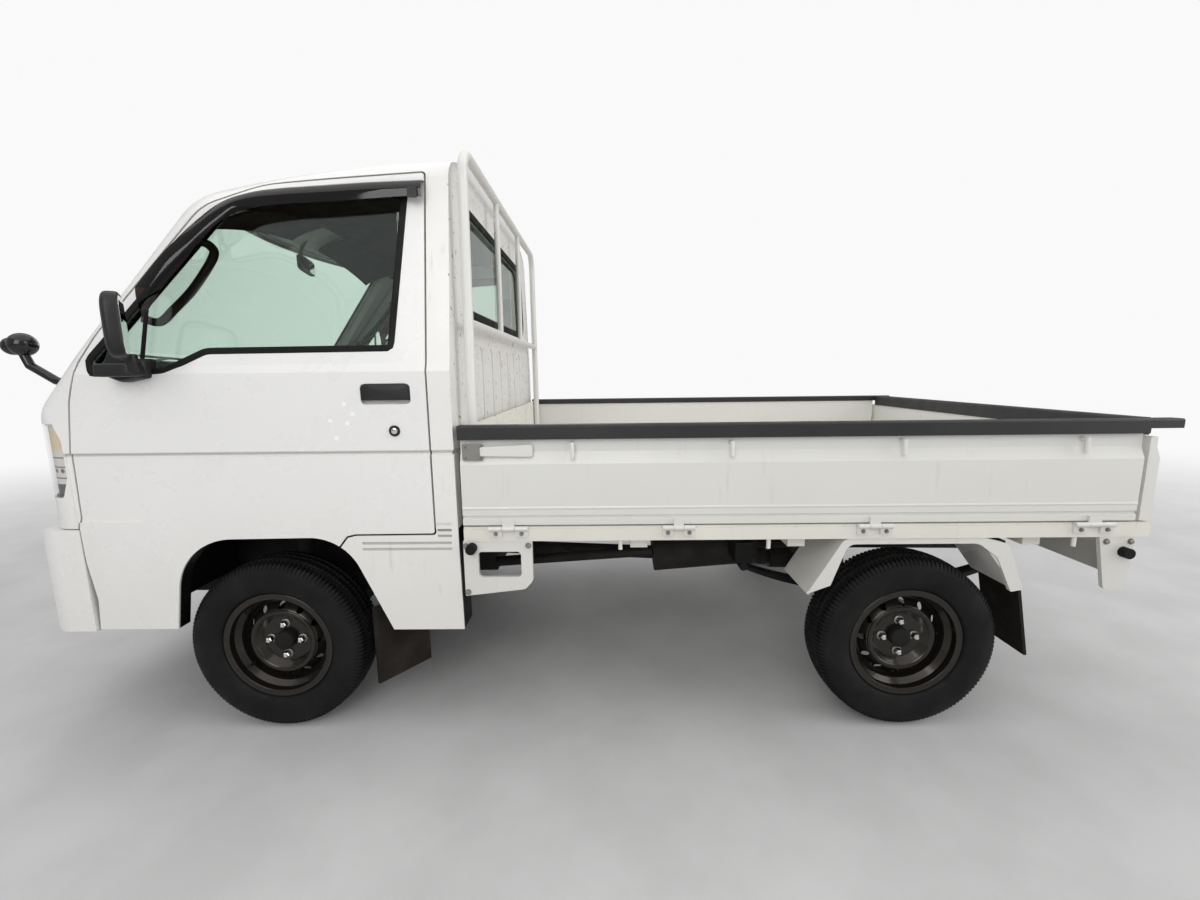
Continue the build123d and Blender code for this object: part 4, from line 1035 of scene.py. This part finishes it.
def seat_belt(name, side):
    """One seat's strap with its anchor, reel and buckle."""
    z = np.linspace(1440, 790, 30)
    line = np.stack([BELT_X + 0 * z, side * (lining_y(z, 66)), z], 1)
    ends = [np.repeat(line[k][None, None], len(STRAP), 1) for k in (0, -1)]
    strap = np.concatenate([ends[0], carried(line, STRAP, (0, side, 0)), ends[1]])
    anchor = turned(ANCHOR, (BELT_X, side * float(lining_y(1450, 62)), 1450), (0, -side, 0), 28)
    corners = ((-515, 735), (-455, 735), (-455, 800), (-515, 800))
    reel = plate([(x, side * REEL_Y, z) for x, z in corners], (0, side * 24, 0))
    piece(f"belt_strap_{name}", [(strap, False, True)], "truck", RUBBER)
    piece(f"belt_fittings_{name}", [anchor, reel], "truck", BLACK_PLASTIC)
    buckle = bar(straight([(-330, side * 66, 715), (-318, side * 66, 830)], 6), 11, (0, 1, 0), 10)
    piece(f"belt_buckle_{name}", [buckle], "truck", BLACK_PLASTIC)


for name, side in SIDES:
    door_inside(name, side)
    seat_belt(name, side)

# %% [markdown]
# The driver sits on the truck's right. A hood shades the gauges: its arch is a superellipse,
# 1 - |u|^2.6, because a half circle would look too round and a box too hard. The dials are blank
# pale discs.

# %% Gauges
DRIVER_Y = -300
u, x = np.meshgrid(np.linspace(-1, 1, 24), np.linspace(425, 545, 8), indexing="ij")
hood = np.stack([x, DRIVER_Y + 135 * u, 1084 + 52 * (1 - np.abs(u) ** 2.6)], 2)
piece("gauge_hood", [sheet(hood, (0, 0, 5))], "truck", TRIM_GREY)
face = rounded(rectangle((-425, 1076), (-175, 1120)), [10] * 4)
gauges = [plate(np.stack([np.full(len(face), 470.0), face[:, 0], face[:, 1]], 1), (6, 0, 0))]
piece("gauge_face", gauges, "truck", GLOSS_BLACK)
dials = [turned([(0.1, 2), (20, 2), (21, 0), (0.1, 0)], (470, DRIVER_Y + off, 1099), (-1, 0, 0), 32)
         for off in (-52, 0, 52)]
piece("gauge_dials", dials, "truck", PALE_GREY)

# %% [markdown]
# A gear lever in its boot and a handbrake stand between the seats, and three pedals hang in the
# driver's footwell. Bent rods are bars along smooth paths, and the boot and knob are turned.

# %% Levers and pedals
BOOT = [(46, 0), (44, 10), (30, 26), (22, 40), (12, 56), (0.1, 58)]
KNOB = [(0.1, -24), (12, -20), (20, -6), (21, 4), (15, 17), (0.1, 21)]
PEDALS = ((-215, 560, 52), (-300, 560, 58), (-378, 520, 44))  # y, z and width
lever = bar(smooth_path([(262, -20, 703), (250, -20, 780), (225, -20, 900)], 20), 6, (0, 1, 0))
boot = turned(BOOT, (262, -20, 701), (0, 0, 1), 28)
knob = turned(KNOB, (224, -20, 912), (-0.2, 0, 1), 28)
brake_line = smooth_path([(20, 30, 706), (100, 30, 740), (215, 30, 792)], 18)
brake = bar(brake_line, np.linspace(8, 14, 18), (0, 1, 0))
piece("gear_lever", [lever, knob], "truck", BLACK_PLASTIC)
piece("gear_lever_boot", [boot], "truck", RUBBER)
piece("handbrake", [brake], "truck", BLACK_PLASTIC)
pads, arms = [], []
for y, z, wide in PEDALS:
    across, up = rounded(rectangle((y - wide / 2, z - 32), (y + wide / 2, z + 32)), [8] * 4).T
    pads.append(plate(np.stack([478 - 0.35 * (up - z), across, up], 1), (10, 0, 4)))
    line = smooth_path([(488, y, z), (528, y, z + 90), (560, y, z + 250)], 14)
    arms.append(bar(line, 7, (0, 1, 0)))
piece("pedal_pads", pads, "truck", RUBBER)
piece("pedal_arms", arms, "truck", FRAME_BLACK)

# %% [markdown]
# A padded handle bends along each windscreen pillar. The mirror's shell is a superellipsoid, a
# ball whose cosines are raised to a power below one, which squares it as a moulding is squared.
# It hangs on a curved stalk from the header, turned a little towards the driver.

# %% Rounded blocks
HANDLE = [(137, 642, 1461), (124, 618, 1451), (130, 604, 1424), (202, 600, 1338), (269, 602, 1277),
          (298, 607, 1248), (313, 618, 1241), (330, 642, 1250)]
MIRROR_AT, MIRROR_TURN = (207, 0, 1524), math.radians(15)


def swung(points, turn):
    """Points turned about Z: (x cos - y sin, x sin + y cos, z)."""
    x, y, z = np.moveaxis(points, -1, 0)
    c, s = math.cos(turn), math.sin(turn)
    return np.stack([x * c - y * s, x * s + y * c, z], -1)


def pebble(half, centre, turn=0.0, power=0.35, back=1e3, rows=20, columns=44):
    """A rounded block: half * sign(c) |c|^power, with c the cosines of a sphere, turned about Z.
    Its back is cut flat at that distance."""
    tilt, spin = np.meshgrid(np.linspace(-np.pi / 2, np.pi / 2, rows),
                             np.linspace(0, 2 * np.pi, columns, endpoint=False), indexing="ij")
    unit = np.stack([np.cos(tilt) * np.cos(spin), np.cos(tilt) * np.sin(spin), np.sin(tilt)], 2)
    unit[..., :2] /= np.maximum(np.cos(tilt), 1e-9)[..., None]
    belt = np.maximum(np.cos(tilt), 0)[..., None] ** power
    flat = np.sign(unit[..., :2]) * np.abs(unit[..., :2]) ** power * belt
    tall = np.sign(unit[..., 2:]) * np.abs(unit[..., 2:]) ** power
    block = np.concatenate([flat, tall], 2) * half
    block[..., 0] = np.maximum(block[..., 0], -back)
    return swung(block, turn) + centre


print("a rounded block:", pebble((9, 96, 30), (0, 0, 0)).shape[:2], "points")

# %% Grab handles and inside mirror
for name, side in SIDES:
    grip = bar(smooth_path(np.array(HANDLE) * (1, side, 1), 60), 12, (0, side, 0))
    handle = piece(f"grab_handle_{name}", [grip], "truck", BLACK_PLASTIC)
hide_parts("cab_fittings")
shell = pebble((9, 96, 30), MIRROR_AT, MIRROR_TURN)
stalk = smooth_path([(209, 0, 1540), (224, 0, 1566), (214, 0, 1600), (185, 0, 1645)], 24)
socket = turned([(0.1, -10), (9, -7), (12, 0), (9, 7), (0.1, 10)], (209, 0, 1542), (0, 0, 1), 20)
piece("inside_mirror", [(shell, False, True), bar(stalk, 7, (0, 1, 0)), socket], "truck",
      BLACK_PLASTIC)
silver = swung(pebble((1.2, 90, 25), (-9.2, 0, 0)), MIRROR_TURN) + MIRROR_AT
piece("inside_mirror_glass", [(silver, False, True)], "truck", MIRROR)

# %% [markdown]
# ## Outside fittings
# A smoked visor shades each side window. It is a strip of bent acrylic, so its surface is ruled
# between an upper line on the door's frame and a lower line that stands off the glass,
# p = (1 - v) upper + v lower, with a swell of 6 mm sin(pi v) between them. Two measured lines say
# more about such a strip than a cage of control points would.

# %% The visor's two lines
VISOR_UPPER = [(255, 735, 1322), (188, 722, 1403), (150, 712, 1444), (106, 702, 1488),
               (32, 690, 1545), (-45, 683, 1572), (-129, 678, 1584), (-253, 676, 1591),
               (-373, 674, 1597), (-514, 670, 1602)]
VISOR_LOWER = [(246, 735, 1243), (191, 725, 1320), (133, 712, 1390), (76, 705, 1455),
               (16, 698, 1506), (-29, 692, 1526), (-124, 690, 1539), (-264, 688, 1545),
               (-458, 685, 1556), (-514, 684, 1557)]
upper, lower = (measured(smooth_path(corners, 400), 70) for corners in (VISOR_UPPER, VISOR_LOWER))
print("the visor is", round(travelled(lower)[-1]), "mm long at its lower edge")

# %% Door visors
foot = upper.copy()
foot[:, 1], foot[:, 2] = side_y(upper[:, 2] + 3) - 1, upper[:, 2] + 3
share = np.linspace(0, 1, 10)[:, None, None]
swell = np.sin(np.pi * share) * np.array([0, 6.0, 2.0])
shade = np.concatenate([foot[None], upper[None] * (1 - share) + lower[None] * share + swell])
for name, side in SIDES:
    moulding = sheet(shade.transpose(1, 0, 2) * (1, side, 1), (0, side * 2.5, 0.8))
    visor = piece(f"smoked_visor_{name}", [moulding], f"door_{name}", SMOKED, 50)
    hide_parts(f"door_visor_{name}")
    clip = side_plate(rectangle((-505, 1552), (-478, 1580)), [5] * 4, side * 684, side * 5)
    piece(f"visor_clip_{name}", [clip], f"door_{name}", BLACK_PLASTIC)

# %% [markdown]
# A door mirror is a rounded shell on a short arm, its glass let into the flat side. The foot wraps
# the corner of the window, below a thin bar that parts off the quarter glass. Foot and door pull
# are bosses: an outline lifted off the door in rows that shrink towards the top, which gives the
# rolled edge of a moulding without a bevel.

# %% The mirror's places, and bosses
MIRROR_CENTRE = np.array([217.0, 842.0, 1210.0])
MIRROR_ALONG, MIRROR_AHEAD = np.array([-0.63, 0.777, 0]), np.array([0.777, 0.63, 0])
MIRROR_FOOT = [(242, 1080), (238, 1132), (298, 1130), (319, 1172), (354, 1112), (348, 1084),
               (306, 1067)]
FOOT_ROWS = [(722, 0), (722, 1), (756, 1), (764, 0.93), (767, 0.85), (767, 0)]
PULL_ROWS = [(727, 0), (727, 1), (737, 1), (740, 0.95), (741, 0.9), (741, 0)]
KNUCKLE = [(0.1, -24), (11, -23), (13, -20), (13, 22), (11, 24), (0.1, 24)]


def boss(outline, rows):
    """A closed outline (x, z) lifted off the side in rows of (y, scale about its middle)."""
    middle = outline.mean(0)
    rings = []
    for y, scale in rows:
        flat = middle + (outline - middle) * scale
        rings.append(np.stack([flat[:, 0], np.full(len(flat), float(y)), flat[:, 1]], 1))
    return (np.stack(rings), False, True)


def mirrored(grids, side):
    """The grids as they are for the left side, or with y turned round for the right."""
    return [(points * (1, side, 1), rows, columns) for points, rows, columns in grids]


foot = boss(rounded(MIRROR_FOOT, [8, 8, 20, 8, 20, 14, 40]), FOOT_ROWS)
pull = boss(rounded(rectangle((-469, 1011), (-331, 1057)), [5, 17, 17, 5]), PULL_ROWS)
print("the foot stands", FOOT_ROWS[-1][0] - FOOT_ROWS[0][0], "mm off the door")

# %% Door mirrors, pulls and window bars
shell = pebble((24, 74, 81), MIRROR_CENTRE, math.atan2(0.63, 0.777), 0.5, 12, 28, 60)
arm = pebble((51, 40, 18), (292, 764, 1101), 0, 0.25)
knuckle = turned(KNUCKLE, (243, 788, 1118), (0, 0, 1), 28)
edge = rounded(rectangle((-64, -71), (64, 71)), [34] * 4)
glass = MIRROR_CENTRE - 12.4 * MIRROR_AHEAD + edge[:, :1] * MIRROR_ALONG + edge[:, 1:] * (0, 0, 1)
bar_z = np.linspace(1096, 1300, 24)
window_bar = np.stack([275 - 0.088 * (bar_z - 1134), side_y(bar_z) - 3, bar_z], 1)
DOOR_PIECES = {
    "mirror_shell": ([(shell, False, True), (arm, False, True), knuckle, foot], BLACK_PLASTIC,
                     "black_plastic"),
    "door_pull": ([pull], BLACK_PLASTIC, "black_plastic"),
    "quarter_window_bar": ([bar(window_bar, 5, (0, 1, 0), 10)], RUBBER, "rubber"),
    "mirror_glass": ([plate(glass, -1.2 * MIRROR_AHEAD)], MIRROR, "gloss_black"),
}
for name, side in SIDES:
    for title, (grids, finish, slot) in DOOR_PIECES.items():
        made = piece(f"{title}_{name}", mirrored(grids, side), f"door_{name}", finish)
        if title == "mirror_shell":
            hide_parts(f"door_fittings_{name}")

# %% [markdown]
# Locks get their cylinders, each in a dark ring. Hinges, brackets and latches are held by bolts
# with six flats and a slight dome. A few dozen faces are enough for each at their size, and all
# come from one function and short tables of places.

# %% Locks and bolts
LOCK_AT = (-419, 741, 926)
CYLINDER = [(0.1, -8), (9, -8), (9, 1), (8.4, 1.6), (7, 2.4), (2.2, 2.4), (2, 1.2), (0.1, 1.2)]
COLLAR = [(9, -6), (15, -6), (15.5, -1.5), (14, 1.6), (11.5, 1.9), (10, 0.4), (9, -1)]
BRACKET_BOLTS = ((-600, 590), (-600, 450), (-780, 590), (-2420, 590), (-2488, 590))
HINGE_RUNS = ((-671, -782), (-1165, -1256), (-1714, -1811), (-2318, -2428))
LATCH_BOLTS = ((-655, 848), (-655, 880), (-612, 848), (-612, 880))


def bolt(place, axis, radius):
    """A bolt head standing on a washer: radius and height rows turned with six sides."""
    washer = turned([(radius * 1.35, 0), (radius * 1.35, 1.6), (0.1, 1.7)], place, axis, 20)
    head = turned([(radius, 1.5), (radius, 6), (radius * 0.8, 7.2), (0.1, 7.4)], place, axis, 6)
    return [washer, head]


def bolts(places, y, side, radius):
    """A bolt at each place (x, z), standing out sideways at y."""
    return [part for x, z in places for part in bolt((x, side * y, z), (0, side, 0), radius)]


hinge_bolts = []
for front, rear in HINGE_RUNS:
    sixth = (front - rear) / 6
    hinge_bolts += [(front - sixth, 628), (rear + sixth, 628)]
for name, side in SIDES:
    lock_at = np.array(LOCK_AT) * (1, side, 1)
    cylinder = turned(CYLINDER, lock_at, (0, side, 0), 24)
    collar = turned(COLLAR, lock_at, (0, side, 0), 40, True)
    piece(f"door_lock_{name}", [cylinder], f"door_{name}", BRIGHT)
    piece(f"lock_ring_{name}", [collar], f"door_{name}", CASTING)
    fixings = bolts(BRACKET_BOLTS, 735, side, 6.5)
    piece(f"bracket_bolts_{name}", fixings, "truck", BARE_STEEL)
    heads = bolts(hinge_bolts, 744, side, 4.5)
    piece(f"hinge_bolts_{name}", heads, "truck", BARE_STEEL)
    latch = side_plate(rectangle((-662, 840), (-604, 888)), [5] * 4, side * 738, side * 2)
    latch_parts = [latch] + bolts(LATCH_BOLTS, 740, side, 3.2)
    piece(f"gate_latch_{name}", latch_parts, f"side_gate_{name}", BARE_STEEL)

# %% [markdown]
# A reflector stands 10 mm behind each headlamp's lens. It has the lens's own outline and bow, so
# it is best made from the lens: its outer faces are moved inwards along their normals,
# p = q - d n, in two layers 1.5 mm apart, and closed along their edge. The solid's mesh is loose
# triangles, so points at one place are first joined.


# %% The lens's outer faces
def joined(node):
    """A node's points in metres, each once, and its triangles on them."""
    mesh = node.data
    mesh.calc_loop_triangles()
    points = np.array([node.matrix_world @ vertex.co for vertex in mesh.vertices])
    triangles = np.array([triangle.vertices for triangle in mesh.loop_triangles])
    points, same = np.unique(points.round(6), axis=0, return_inverse=True)
    return points, same.ravel()[triangles]


def face_normals(points, triangles):
    """The cross product of two edges of each triangle, as long as twice its area."""
    a, b, c = (points[triangles[:, k]] for k in range(3))
    return np.cross(b - a, c - a)


points, triangles = joined(NODES["headlamps"])
normals = face_normals(points, triangles)
length = np.linalg.norm(normals, axis=1)
unit = normals / np.maximum(length, 1e-12)[:, None]
away = unit[:, 0] + np.sign(points[triangles[:, 0], 1]) * unit[:, 1]
outer = (length > 1e-10) & (away > 0.6) & (np.abs(unit[:, 2]) < 0.6)
used, lens_faces = np.unique(triangles[outer], return_inverse=True)
lens_points, lens_faces = points[used], lens_faces.reshape(-1, 3)
print(len(lens_faces), "outer faces on the two lenses")

# %% Lamp reflectors
REFLECTOR_FRONT, REFLECTOR_BACK = 0.010, 0.0115
leaning = np.zeros_like(lens_points)
for k in range(3):
    np.add.at(leaning, lens_faces[:, k], normals[outer])
leaning /= np.linalg.norm(leaning, axis=1, keepdims=True)
layers = [lens_points - leaning * inwards for inwards in (REFLECTOR_FRONT, REFLECTOR_BACK)]
edges = np.concatenate([lens_faces[:, [0, 1]], lens_faces[:, [1, 2]], lens_faces[:, [2, 0]]])
known = {tuple(edge) for edge in edges.tolist()}
rim = [edge for edge in edges.tolist() if (edge[1], edge[0]) not in known]
back = len(lens_points)
faces = lens_faces.tolist() + (lens_faces[:, ::-1] + back).tolist()
faces += [(q, p, p + back, q + back) for p, q in rim]
reflector_mesh = bpy.data.meshes.new("lamp_reflectors")
reflector_mesh.from_pydata(np.concatenate(layers).tolist(), [], faces)
reflector_mesh.materials.append(LAMP_INSIDE)
reflectors = bpy.data.objects.new("lamp_reflectors", reflector_mesh)
bpy.context.scene.collection.objects.link(reflectors)
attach(reflectors, "truck")
print(len(faces), "faces on the reflectors")

# %% [markdown]
# Over each front wheel a rubber strip closes the slot between the platform's wall and the frame.

# %% Wheelhouse strips
skirts = [side_plate(rectangle((-296, 384), (120, 434)), [8] * 4, side * 405, side * 4)
          for _, side in SIDES]
piece("wheelhouse_skirts", skirts, "truck", RUBBER)

# %% [markdown]
# A wiper is a tapering arm and a straight rubber in a thin channel. Both follow the screen: each
# point's x comes from its y and z by the screen's formula, moved a few millimetres out. Placing
# them by eye would leave them cutting into the bowed glass.


# %% Wipers
WIPERS = (  # pivot, middle of the arm's end, ends of the blade, all (y, z)
    ((330, 1104), (160, 1158), ((-30, 1150), (345, 1160))),
    ((-160, 1104), (-310, 1152), ((-500, 1152), (-120, 1158))),
)
SPINDLE = [(0.1, 22), (11, 20), (14, 10), (15, -8), (0.1, -8)]


def on_screen(points, clear_by):
    """Points (y, z) laid on the windscreen, standing clear of it by that many millimetres."""
    across, up = np.asarray(points, dtype=float).T
    return np.stack([screen_x(across, up, -clear_by), across, up], 1)


wiper_parts, rubbers = [], []
for pivot, middle, ends in WIPERS:
    arm = on_screen(smooth_path([pivot, (pivot[0] - 30, 1132), middle], 22), 20)
    blade = straight(ends, 12)
    wiper_parts += [
        bar(arm, np.linspace(8, 4, len(arm)), (1, 0, 0)),
        turned(SPINDLE, on_screen([pivot], 8)[0], (0.65, 0, 0.76), 24),
        bar(on_screen(blade, 13), 4.5, (1, 0, 0), 8),
    ]
    rubbers.append(bar(on_screen(blade, 7), 2.6, (1, 0, 0), 8))
wiper_arms = piece("wiper_arms", wiper_parts, "truck", BLACK_PLASTIC)
piece("wiper_rubbers", rubbers, "truck", RUBBER)
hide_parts("wipers")

# %% [markdown]
# The front struts carry coil springs, p = (R cos t, R sin t, pitch t) about the leaning strut. A
# Screw modifier would turn one too, but about an axis of the object, and the strut leans.

# %% Coil springs
STRUT_FOOT, STRUT_TOP = np.array([0, 572, 166.0]), np.array([0, 501, 660.0])
COIL_RADIUS, COIL_TURNS, COIL_LOW, COIL_HIGH = 39, 2.6, 558, 630
strut = (STRUT_TOP - STRUT_FOOT) / np.linalg.norm(STRUT_TOP - STRUT_FOOT)
first, second = np.array([1.0, 0, 0]), np.cross(strut, (1.0, 0, 0))
turn = np.linspace(0, COIL_TURNS * 2 * np.pi, 110)[:, None]
height = np.linspace((COIL_LOW - STRUT_FOOT[2]) / strut[2],
                     (COIL_HIGH - STRUT_FOOT[2]) / strut[2], 110)[:, None]
coil = (STRUT_FOOT + height * strut + COIL_RADIUS * np.cos(turn) * first
        + COIL_RADIUS * np.sin(turn) * second)
for name, side in SIDES:
    spring = bar(coil * (1, side, 1), 5.5, (0, 0.14, 1), 10)
    piece(f"coil_spring_{name}", [spring], f"knuckle_{name}", FRAME_BLACK)

# %% [markdown]
# Between a door and its frame runs a dark weather strip, a thin bead set deep in the gap. It
# follows the door's outline, moved out square to it by half the gap, and stays on the cab when
# the door opens.

# %% Door gap strips
DOOR = [(516, 340), (505, 429), (517, 543), (517, 653), (509, 683), (505, 869), (484, 1013),
        (452, 1120), (400, 1200), (105, 1547), (-60, 1606), (-505, 1629), (-512, 1624), (-512, 629),
        (-283, 628), (-257, 622), (-232, 590)]
HALF_GAP, STRIP_DEPTH = 2.75, 24
line = straight(DOOR, 10)
soft = np.vstack([line[:1], (line[:-2] + line[1:-1] + line[2:]) / 3, line[-1:]])
along = np.gradient(soft, axis=0)
square = np.stack([along[:, 1], -along[:, 0]], 1) / np.linalg.norm(along, axis=1, keepdims=True)
across, up = (soft + HALF_GAP * square).T
for name, side in SIDES:
    path = np.stack([across, side * (side_y(up) - STRIP_DEPTH), up], 1)
    piece(f"door_gap_strip_{name}", [bar(path, 2.2, (0, side, 0), 8)], "truck", RUBBER)

# %% [markdown]
# ## Stage, light and camera
# The world is what the camera sees behind the truck, and what lights its shaded sides. One light
# can't do both: a world bright enough for a white backdrop would wash the paint out. So rays from
# the camera, or through glass, see a near white, and all other rays a softer light.

# %% World
BACKDROP, SOFT_GLOW = 0.95, 0.42
world = bpy.data.worlds.new("pale_hall")
bpy.context.scene.world = world
world.use_nodes = True
nodes, links = world.node_tree.nodes, world.node_tree.links
nodes.clear()
rays = nodes.new("ShaderNodeLightPath")
seen = nodes.new("ShaderNodeMath")
seen.operation = "MAXIMUM"
links.new(rays.outputs["Is Camera Ray"], seen.inputs[0])
links.new(rays.outputs["Is Transmission Ray"], seen.inputs[1])
blend = nodes.new("ShaderNodeMixShader")
links.new(seen.outputs[0], blend.inputs[0])
for socket, strength in ((1, SOFT_GLOW), (2, BACKDROP)):
    background = nodes.new("ShaderNodeBackground")
    background.inputs["Color"].default_value = (1, 1, 1, 1)
    background.inputs["Strength"].default_value = strength
    links.new(background.outputs[0], blend.inputs[socket])
links.new(blend.outputs[0], nodes.new("ShaderNodeOutputWorld").inputs["Surface"])
print("the world shows", BACKDROP, "and lights with", SOFT_GLOW)

# %% [markdown]
# The floor is plain and pale, with a little unevenness. Seen by the camera it fades into the
# backdrop away from the truck, so that no horizon shows, and keeps the truck's shadow near it.

# %% Floor
FLOOR_HALF, FADE_FROM, FADE_TO = 30, 2.6, 9.0
paving = Finish("pale_floor", (0.50, 0.50, 0.50), 0.6)
paving.relief(paving.noise(30, 4), 0.0005)
patches = paving.ramp(paving.noise(3, 5), 0.3, 0.7)
paving.paint(paving.mix(patches, (0.48, 0.48, 0.48), (0.54, 0.54, 0.54)))
distance = paving.node("ShaderNodeVectorMath", operation="LENGTH")
paving.feed(distance.inputs[0], paving.place)
rays = paving.node("ShaderNodeLightPath")
share = paving.product(paving.ramp(distance.outputs["Value"], FADE_FROM, FADE_TO),
                       rays.outputs["Is Camera Ray"])
glow = paving.node("ShaderNodeEmission")
glow.inputs["Color"].default_value = (1, 1, 1, 1)
glow.inputs["Strength"].default_value = BACKDROP
faded = paving.node("ShaderNodeMixShader")
for socket, value in zip(faded.inputs, (share, paving.shader.outputs[0], glow.outputs[0])):
    paving.feed(socket, value)
paving.feed(paving.tree.nodes["Material Output"].inputs["Surface"], faded.outputs[0])
floor_mesh = bpy.data.meshes.new("floor")
corners = np.array(rectangle((-1, -1), (1, 1)))[::-1] * FLOOR_HALF
floor_mesh.from_pydata([(x, y, 0) for x, y in corners.tolist()], [], [(0, 1, 2, 3)])
floor_mesh.materials.append(paving.material)
floor = bpy.data.objects.new("floor", floor_mesh)
bpy.context.scene.collection.objects.link(floor)
print("floor of", 2 * FLOOR_HALF, "m a side")

# %% [markdown]
# Four broad lamps give a soft light: one overhead, and one each at the two sides and the rear.
# Small ones would draw hard shadows. They don't show through the truck's own glass.


# %% Lamps
def lamp(name, place, target, size, power):
    """A square area lamp at a place, aimed at a target."""
    data = bpy.data.lights.new(name, "AREA")
    data.shape, data.size, data.energy = "SQUARE", size, power
    made = bpy.data.objects.new(name, data)
    made.location = place
    made.rotation_euler = (Vector(target) - Vector(place)).to_track_quat("-Z", "Y").to_euler()
    made.visible_transmission = False
    bpy.context.scene.collection.objects.link(made)
    print(f"{name}: {size} m a side, {power} W")


lamp("hall_lights", (0.3, 0.6, 9.0), (0, 0, 0), 16.0, 680)
lamp("side_light", (0.8, 5.2, 3.0), (0, 0, 0.7), 3.0, 96)
lamp("far_light", (2.0, -5.2, 3.0), (0, 0, 0.7), 4.0, 66)
lamp("rear_light", (-9.0, 2.4, 3.6), (0, 0, 1.0), 7.0, 400)

# %% [markdown]
# The camera stands about two metres left of the truck's middle line with a very wide lens, a
# little behind the middle and just above the bed, tipped down by 8.6 degrees. Its three axes are
# turned one after another, which keeps turn, tip and roll apart, as a tripod head does.


# %% Camera
CAMERA_PLACE = (-0.1264, 2.1209, 1.0768)
TURN, TIP, ROLL = (math.radians(angle) for angle in (0.8, 8.64, -0.68))
FOCAL_LENGTH, SENSOR_WIDTH = 15.08, 36


def tilted(one, other, angle):
    """Two square axes turned in their own plane: the first goes towards the second."""
    c, s = math.cos(angle), math.sin(angle)
    return c * one + s * other, c * other - s * one


right, up, ahead = Vector((-1, 0, 0)), Vector((0, 0, 1)), Vector((0, -1, 0))
right, ahead = tilted(right, ahead, TURN)
ahead, up = tilted(ahead, up, -TIP)
right, up = tilted(right, up, ROLL)
lens = bpy.data.cameras.new("camera")
lens.sensor_fit, lens.sensor_width, lens.lens = "HORIZONTAL", SENSOR_WIDTH, FOCAL_LENGTH
lens.clip_start, lens.clip_end = 0.05, 200
camera = bpy.data.objects.new("camera", lens)
bpy.context.scene.collection.objects.link(camera)
axes = Matrix((right, up, -ahead)).transposed()
camera.matrix_world = Matrix.Translation(CAMERA_PLACE) @ axes.to_4x4()
bpy.context.scene.camera = camera
bpy.context.scene.view_settings.view_transform = "Standard"
view_width = 2 * math.degrees(math.atan(SENSOR_WIDTH / 2 / FOCAL_LENGTH))
print("the camera sees", round(view_width), "degrees across")
